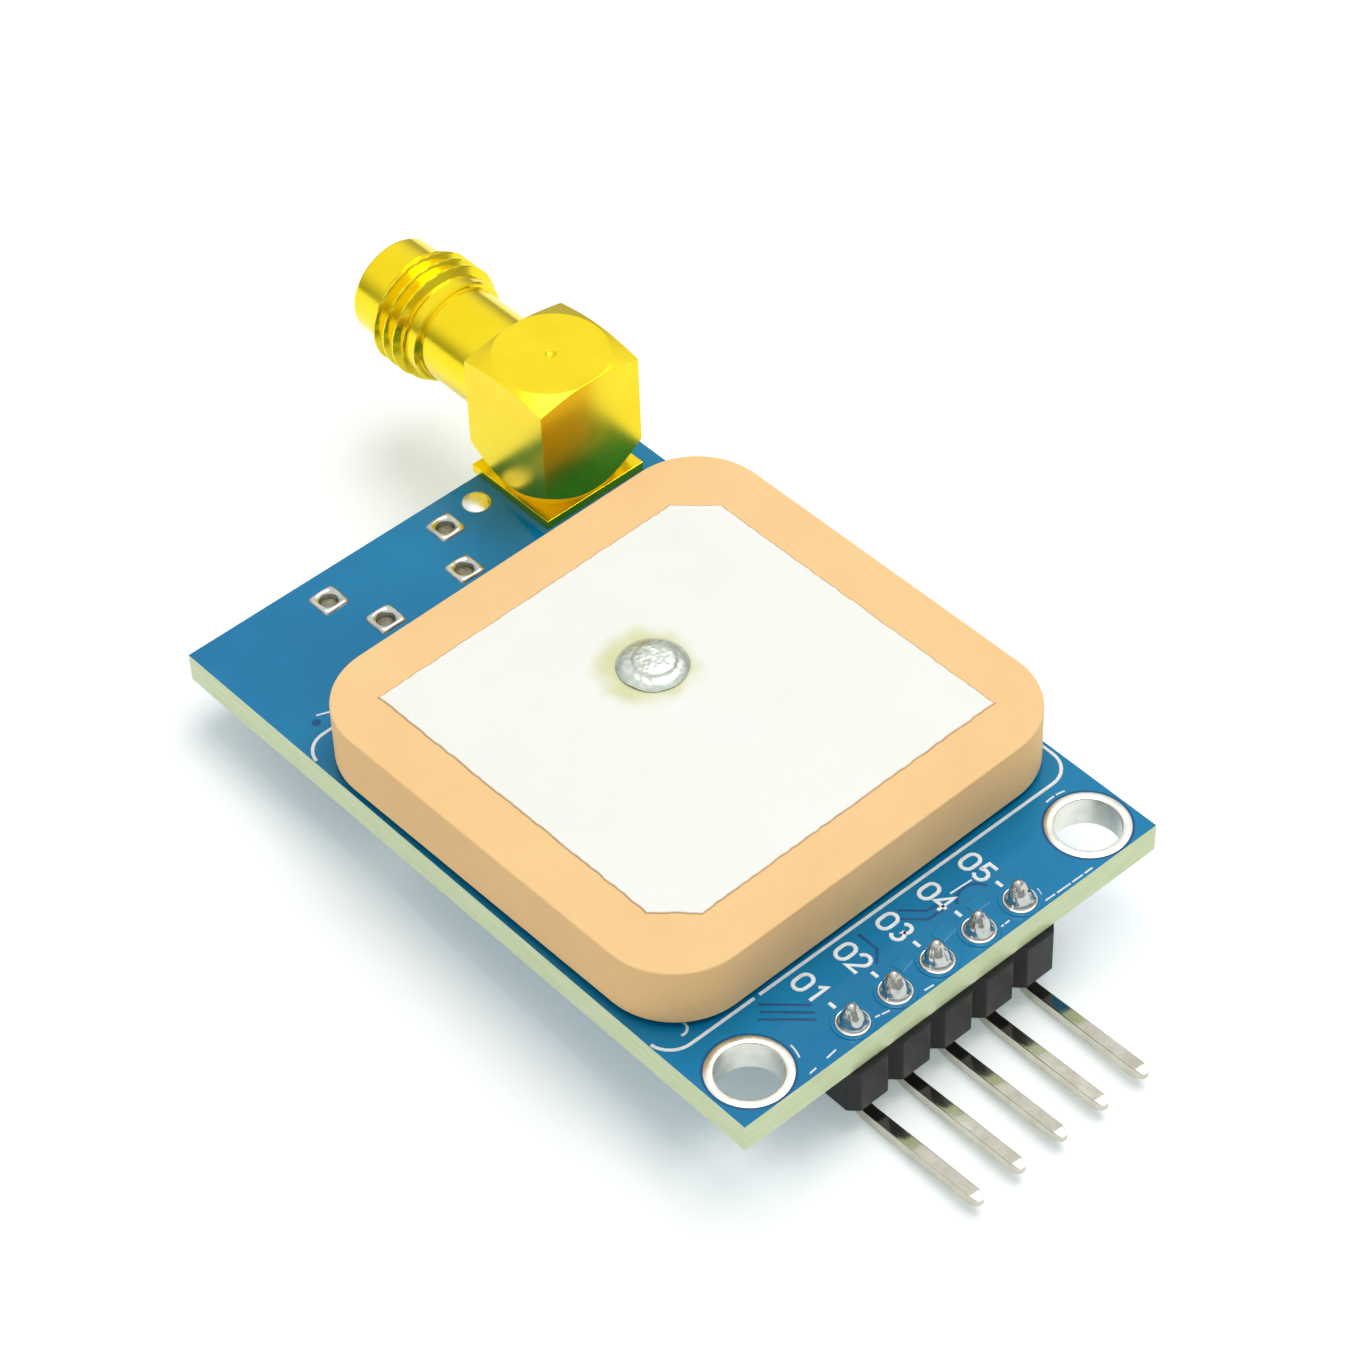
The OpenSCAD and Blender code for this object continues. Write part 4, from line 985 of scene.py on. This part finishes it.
for i, x in enumerate(pin_x):
    target = carrier_mid.x + (2 * i + 2 - (CASTLES - 1) / 2) * CASTLE_PITCH
    path = [(x, strip_high.y), (x, TRACK_TURN), (target, TRACK_TURN + abs(target - x)),
            (target, carrier_low.y)]
    ribbon(bm, path, TRACK_WIDTH, UNDER_RISE, BOARD_UNDER)
for path in TRACKS:
    ribbon(bm, path, TRACK_WIDTH, UNDER_RISE, BOARD_UNDER)
for spot in VIAS:
    lathe(bm, VIA_PROFILE, spot, VIA_SIDES)
piece("copper_underneath", bm, masked_copper, smooth=40)

# %% [markdown]
# ## White ink
# A screen-printed outline marks the antenna's place; it runs almost at the board's edge. Numbers mark
# the five pins, each with a short line to its land. Broken dashes follow the header along the front
# edge, where solder and the saw have taken part of the print. Underneath, two arcs mark the backup
# cell's place, and a dot marks the first contact of the carrier and of the memory chip.

# %% Printed outline round the antenna
INK_RISE = 0.025
OUTLINE_LEFT, OUTLINE_RIGHT = -12.4, 12.25
OUTLINE_FRONT, OUTLINE_BACK = 2.84, 28.0
OUTLINE_ROUND, OUTLINE_WIDTH = 1.3, 0.17
BREAK_AT, BREAK_WIDE = -7.25, 0.3
SAWN_OFF = 8
TICK, TICK_WIDTH = [(-10.6, 29.12), (-10.0, 28.87)], 0.1
HOOK_X, HOOK_Y, HOOK_RADIUS, HOOK_WIDTH = -10.95, 3.85, 0.42, 0.13
r = OUTLINE_ROUND
left, right_side = OUTLINE_LEFT + r, OUTLINE_RIGHT - r
near, far = OUTLINE_FRONT + r, OUTLINE_BACK - r
loop = ([(BREAK_AT + BREAK_WIDE / 2, OUTLINE_FRONT)] + arc(right_side, near, r, 270, 360)
        + arc(right_side, far, r, 0, 90) + arc(left, far, r, 90, 180 - SAWN_OFF))
corner = arc(left, near, r, 180 + SAWN_OFF, 270) + [(BREAK_AT - BREAK_WIDE / 2, OUTLINE_FRONT)]
bm = bmesh.new()
ribbon(bm, loop, OUTLINE_WIDTH, INK_RISE)
ribbon(bm, corner, OUTLINE_WIDTH, INK_RISE)
ribbon(bm, arc(HOOK_X, HOOK_Y, HOOK_RADIUS, 250, 370), HOOK_WIDTH, INK_RISE)
ribbon(bm, TICK, TICK_WIDTH, INK_RISE)
piece("ink_outline", bm, white_ink, smooth=20)

# %% Pin numbers
NUMBER_TALL, NUMBER_STROKE = 1.05, 0.19
NUMBER_FROM, LINE_FROM, LINE_TO = 2.4, 0.42, 0.02
STROKES = {
    0: arc(0.33, 0.66, 0.31, 0, 180, 6) + arc(0.33, 0.32, 0.31, 180, 360, 6) + [(0.64, 0.66)],
    1: [(0.12, 0.76), (0.38, 1), (0.38, 0)],
    2: arc(0.33, 0.69, 0.31, 165, -35) + [(0.02, 0), (0.66, 0)],
    3: arc(0.3, 0.75, 0.25, 150, -75) + arc(0.3, 0.28, 0.28, 75, -150),
    4: [(0.48, 0), (0.48, 1), (0.02, 0.32), (0.68, 0.32)],
    5: [(0.6, 1), (0.12, 1), (0.08, 0.56)] + arc(0.3, 0.32, 0.31, 130, -150)}
NUMBER_STEP = 0.86
bm = bmesh.new()
for number, x in enumerate(pin_x, 1):
    for column, digit in enumerate((0, number)):
        path = [(x + (v - 0.5) * NUMBER_TALL, NUMBER_FROM - (u + column * NUMBER_STEP) * NUMBER_TALL)
                for u, v in STROKES[digit]]
        ribbon(bm, path, NUMBER_STROKE, INK_RISE)
    ribbon(bm, [(x, LINE_FROM), (x, LINE_TO)], NUMBER_STROKE, INK_RISE)
piece("ink_pin_numbers", bm, white_ink, smooth=20)

# %% Broken dashes along the header
DASH_WIDTH, HOLE_MARK = 0.09, 2.27
DASHES = ([(5.72, -1.86), (6.3, -1.88)], [(6.42, -1.89), (7.25, -1.91)], [(7.35, -1.91), (8.0, -1.92)],
          [(8.12, -1.92), (8.6, -1.92)], [(3.0, -1.6), (3.4, -1.6)], [(3.48, -1.6), (3.75, -1.59)],
          [(5.84, -1.49), (5.96, -1.12)], [(-4.5, -1.47), (-4.1, -1.58)], [(-4.02, -1.6), (-3.62, -1.68)],
          [(-1.74, -1.9), (-1.23, -1.95)], [(-8.5, -1.86), (-8.1, -1.82)], [(-7.4, -1.74), (-6.8, -1.67)],
          [(2.96, 1.31), (4.22, 1.24)], arc(hole_right, 0, HOLE_MARK, 72, 84, 4),
          arc(hole_right, 0, HOLE_MARK, 87, 100, 4), arc(hole_left, 0, HOLE_MARK, -24, -4, 5))
bm = bmesh.new()
for path in DASHES:
    ribbon(bm, path, DASH_WIDTH, INK_RISE)
piece("ink_dashes", bm, white_ink, smooth=20)

# %% Marks underneath
bm = bmesh.new()
cell_low, cell_high, cell_mid = place("backup_cell")
memory_low, memory_high = place("memory_chip")[:2]
CELL_MARGIN, MARK_WIDTH, MARK_SWEEP, MARK_STEPS = 0.5, 0.14, 110, 24
DOT_OUT, DOT_BACK, DOT_RADIUS, DOT_WIDTH, DOT_SIDES = 0.6, 0.2, 0.12, 0.22, 12
ring = (cell_high.x - cell_low.x) / 2 + CELL_MARGIN
for start in (120, 300):
    path = arc(cell_mid.x, cell_mid.y, ring, start, start + MARK_SWEEP, MARK_STEPS)
    ribbon(bm, path, MARK_WIDTH, -INK_RISE, BOARD_UNDER)
for x, y in ((carrier_low.x, carrier_low.y + DOT_OUT), (memory_low.x, memory_high.y + DOT_BACK)):
    dot = ring_path(x - DOT_OUT, y, DOT_RADIUS, DOT_SIDES)
    ribbon(bm, dot, DOT_WIDTH, -INK_RISE, BOARD_UNDER, closed=True)
piece("ink_marks_underneath", bm, white_ink, smooth=20)

# %% [markdown]
# ## Stage and light
# A pale floor lies under the pins' bends and the data socket's lip, the two places the board rests on.
# The room is an even white studio: soft light from all sides and one large lamp overhead, a little to
# the right. Mirrors see a bright ceiling that darkens towards the walls, which is what gives polished
# metal its contrast. The paper's own slight glow is seen only by the eye and by mirrors, so it whitens
# the background and lights nothing.

# %% Floor
bend_y = strip_mid.y - BEND_RADIUS
pin_low = place("header_pin_1")[0].z
lip_low, lip_high = place("data_socket_shell")[:2]
slope = (lip_low.z - pin_low) / (lip_high.y - bend_y)
FLOOR_REACH = 900
FLOOR_GLOW = 0.26
PAPER_COLOUR, GLOW_COLOUR = (0.95, 0.94, 0.93, 1), (0.8, 1, 1, 1)
bm = bmesh.new()
corners = [Vector((x, y, 0)) * FLOOR_REACH for x, y in ((-1, -1), (1, -1), (1, 1), (-1, 1))]
for corner in corners:
    corner.z = pin_low + slope * (corner.y - bend_y)
bm.faces.new([bm.verts.new(corner * MM) for corner in corners])
floor_mesh = bpy.data.meshes.new("floor")
bm.to_mesh(floor_mesh)
bm.free()
floor = bpy.data.objects.new("floor", floor_mesh)
bpy.context.scene.collection.objects.link(floor)
floor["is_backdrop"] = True
paper = bpy.data.materials.new("white_paper")
paper.use_nodes = True
tree = paper.node_tree
tree.nodes.clear()
path = add(tree, "ShaderNodeLightPath")
seen = add(tree, "ShaderNodeMath", {0: (path, "Is Camera Ray"), 1: (path, "Is Glossy Ray")},
           operation="MAXIMUM")
seen = add(tree, "ShaderNodeMath", {0: (seen, "Value"), 1: (path, "Is Transmission Ray")},
           operation="MAXIMUM")
lift = add(tree, "ShaderNodeMath", {0: (seen, "Value"), 1: FLOOR_GLOW}, operation="MULTIPLY")
matte = add(tree, "ShaderNodeBsdfDiffuse", {"Color": PAPER_COLOUR})
glow = add(tree, "ShaderNodeEmission", {"Color": GLOW_COLOUR, "Strength": (lift, "Value")})
lit = add(tree, "ShaderNodeAddShader", {0: (matte, 0), 1: (glow, 0)})
clear = add(tree, "ShaderNodeBsdfTransparent")
under = add(tree, "ShaderNodeNewGeometry")
one_sided = add(tree, "ShaderNodeMixShader", {0: (under, "Backfacing"), 1: (lit, 0), 2: (clear, 0)})
add(tree, "ShaderNodeOutputMaterial", {"Surface": (one_sided, 0)})
floor_mesh.materials.append(paper)
print("floor slope in degrees:", round(math.degrees(math.atan(slope)), 2))

# %% World and lamp
AMBIENT = 0.5
WALLS, CEILING, CEILING_FROM = 0.34, 1.0, 0.62
world = bpy.data.worlds.new("studio")
world.use_nodes = True
tree = world.node_tree
tree.nodes.clear()
path = add(tree, "ShaderNodeLightPath")
way = add(tree, "ShaderNodeTexCoord")
axes = add(tree, "ShaderNodeSeparateXYZ", {"Vector": (way, "Generated")})
room = add(tree, "ShaderNodeMapRange",
           {"Value": (axes, "Z"), "From Min": 0.0, "From Max": CEILING_FROM, "To Min": WALLS,
            "To Max": CEILING},
           interpolation_type="SMOOTHSTEP")
mirrored = add(tree, "ShaderNodeMapRange",
               {"Value": (path, "Is Glossy Ray"), "To Min": AMBIENT, "To Max": (room, "Result")})
seen = add(tree, "ShaderNodeMath", {0: (path, "Is Camera Ray"), 1: (path, "Is Transmission Ray")},
           operation="MAXIMUM")
strength = add(tree, "ShaderNodeMapRange",
               {"Value": (seen, "Value"), "To Min": (mirrored, "Result"), "To Max": 1.0})
sky = add(tree, "ShaderNodeBackground", {"Color": (1, 1, 1, 1), "Strength": (strength, "Result")})
add(tree, "ShaderNodeOutputWorld", {"Surface": (sky, 0)})
bpy.context.scene.world = world
LAMP_POWER, LAMP_SIZE, LAMP_FAR = 2.8, 0.6, 0.7
LAMP_WAY = Vector((0.28, 0.0, 1)).normalized()
lamp = bpy.data.lights.new("softbox", "AREA")
lamp.shape = "DISK"
lamp.size = LAMP_SIZE
lamp.energy = LAMP_POWER
softbox = bpy.data.objects.new("softbox", lamp)
softbox.location = board_mid * MM + LAMP_WAY * LAMP_FAR
softbox.rotation_mode = "QUATERNION"
softbox.rotation_quaternion = (-LAMP_WAY).to_track_quat("-Z", "Y")
bpy.context.scene.collection.objects.link(softbox)
bpy.context.scene.view_settings.view_transform = "Standard"
print("lamp power in watts:", LAMP_POWER)

# %% The visual box
low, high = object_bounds()
print("visual box in millimetres:", [round(v / MM, 2) for v in low], [round(v / MM, 2) for v in high])
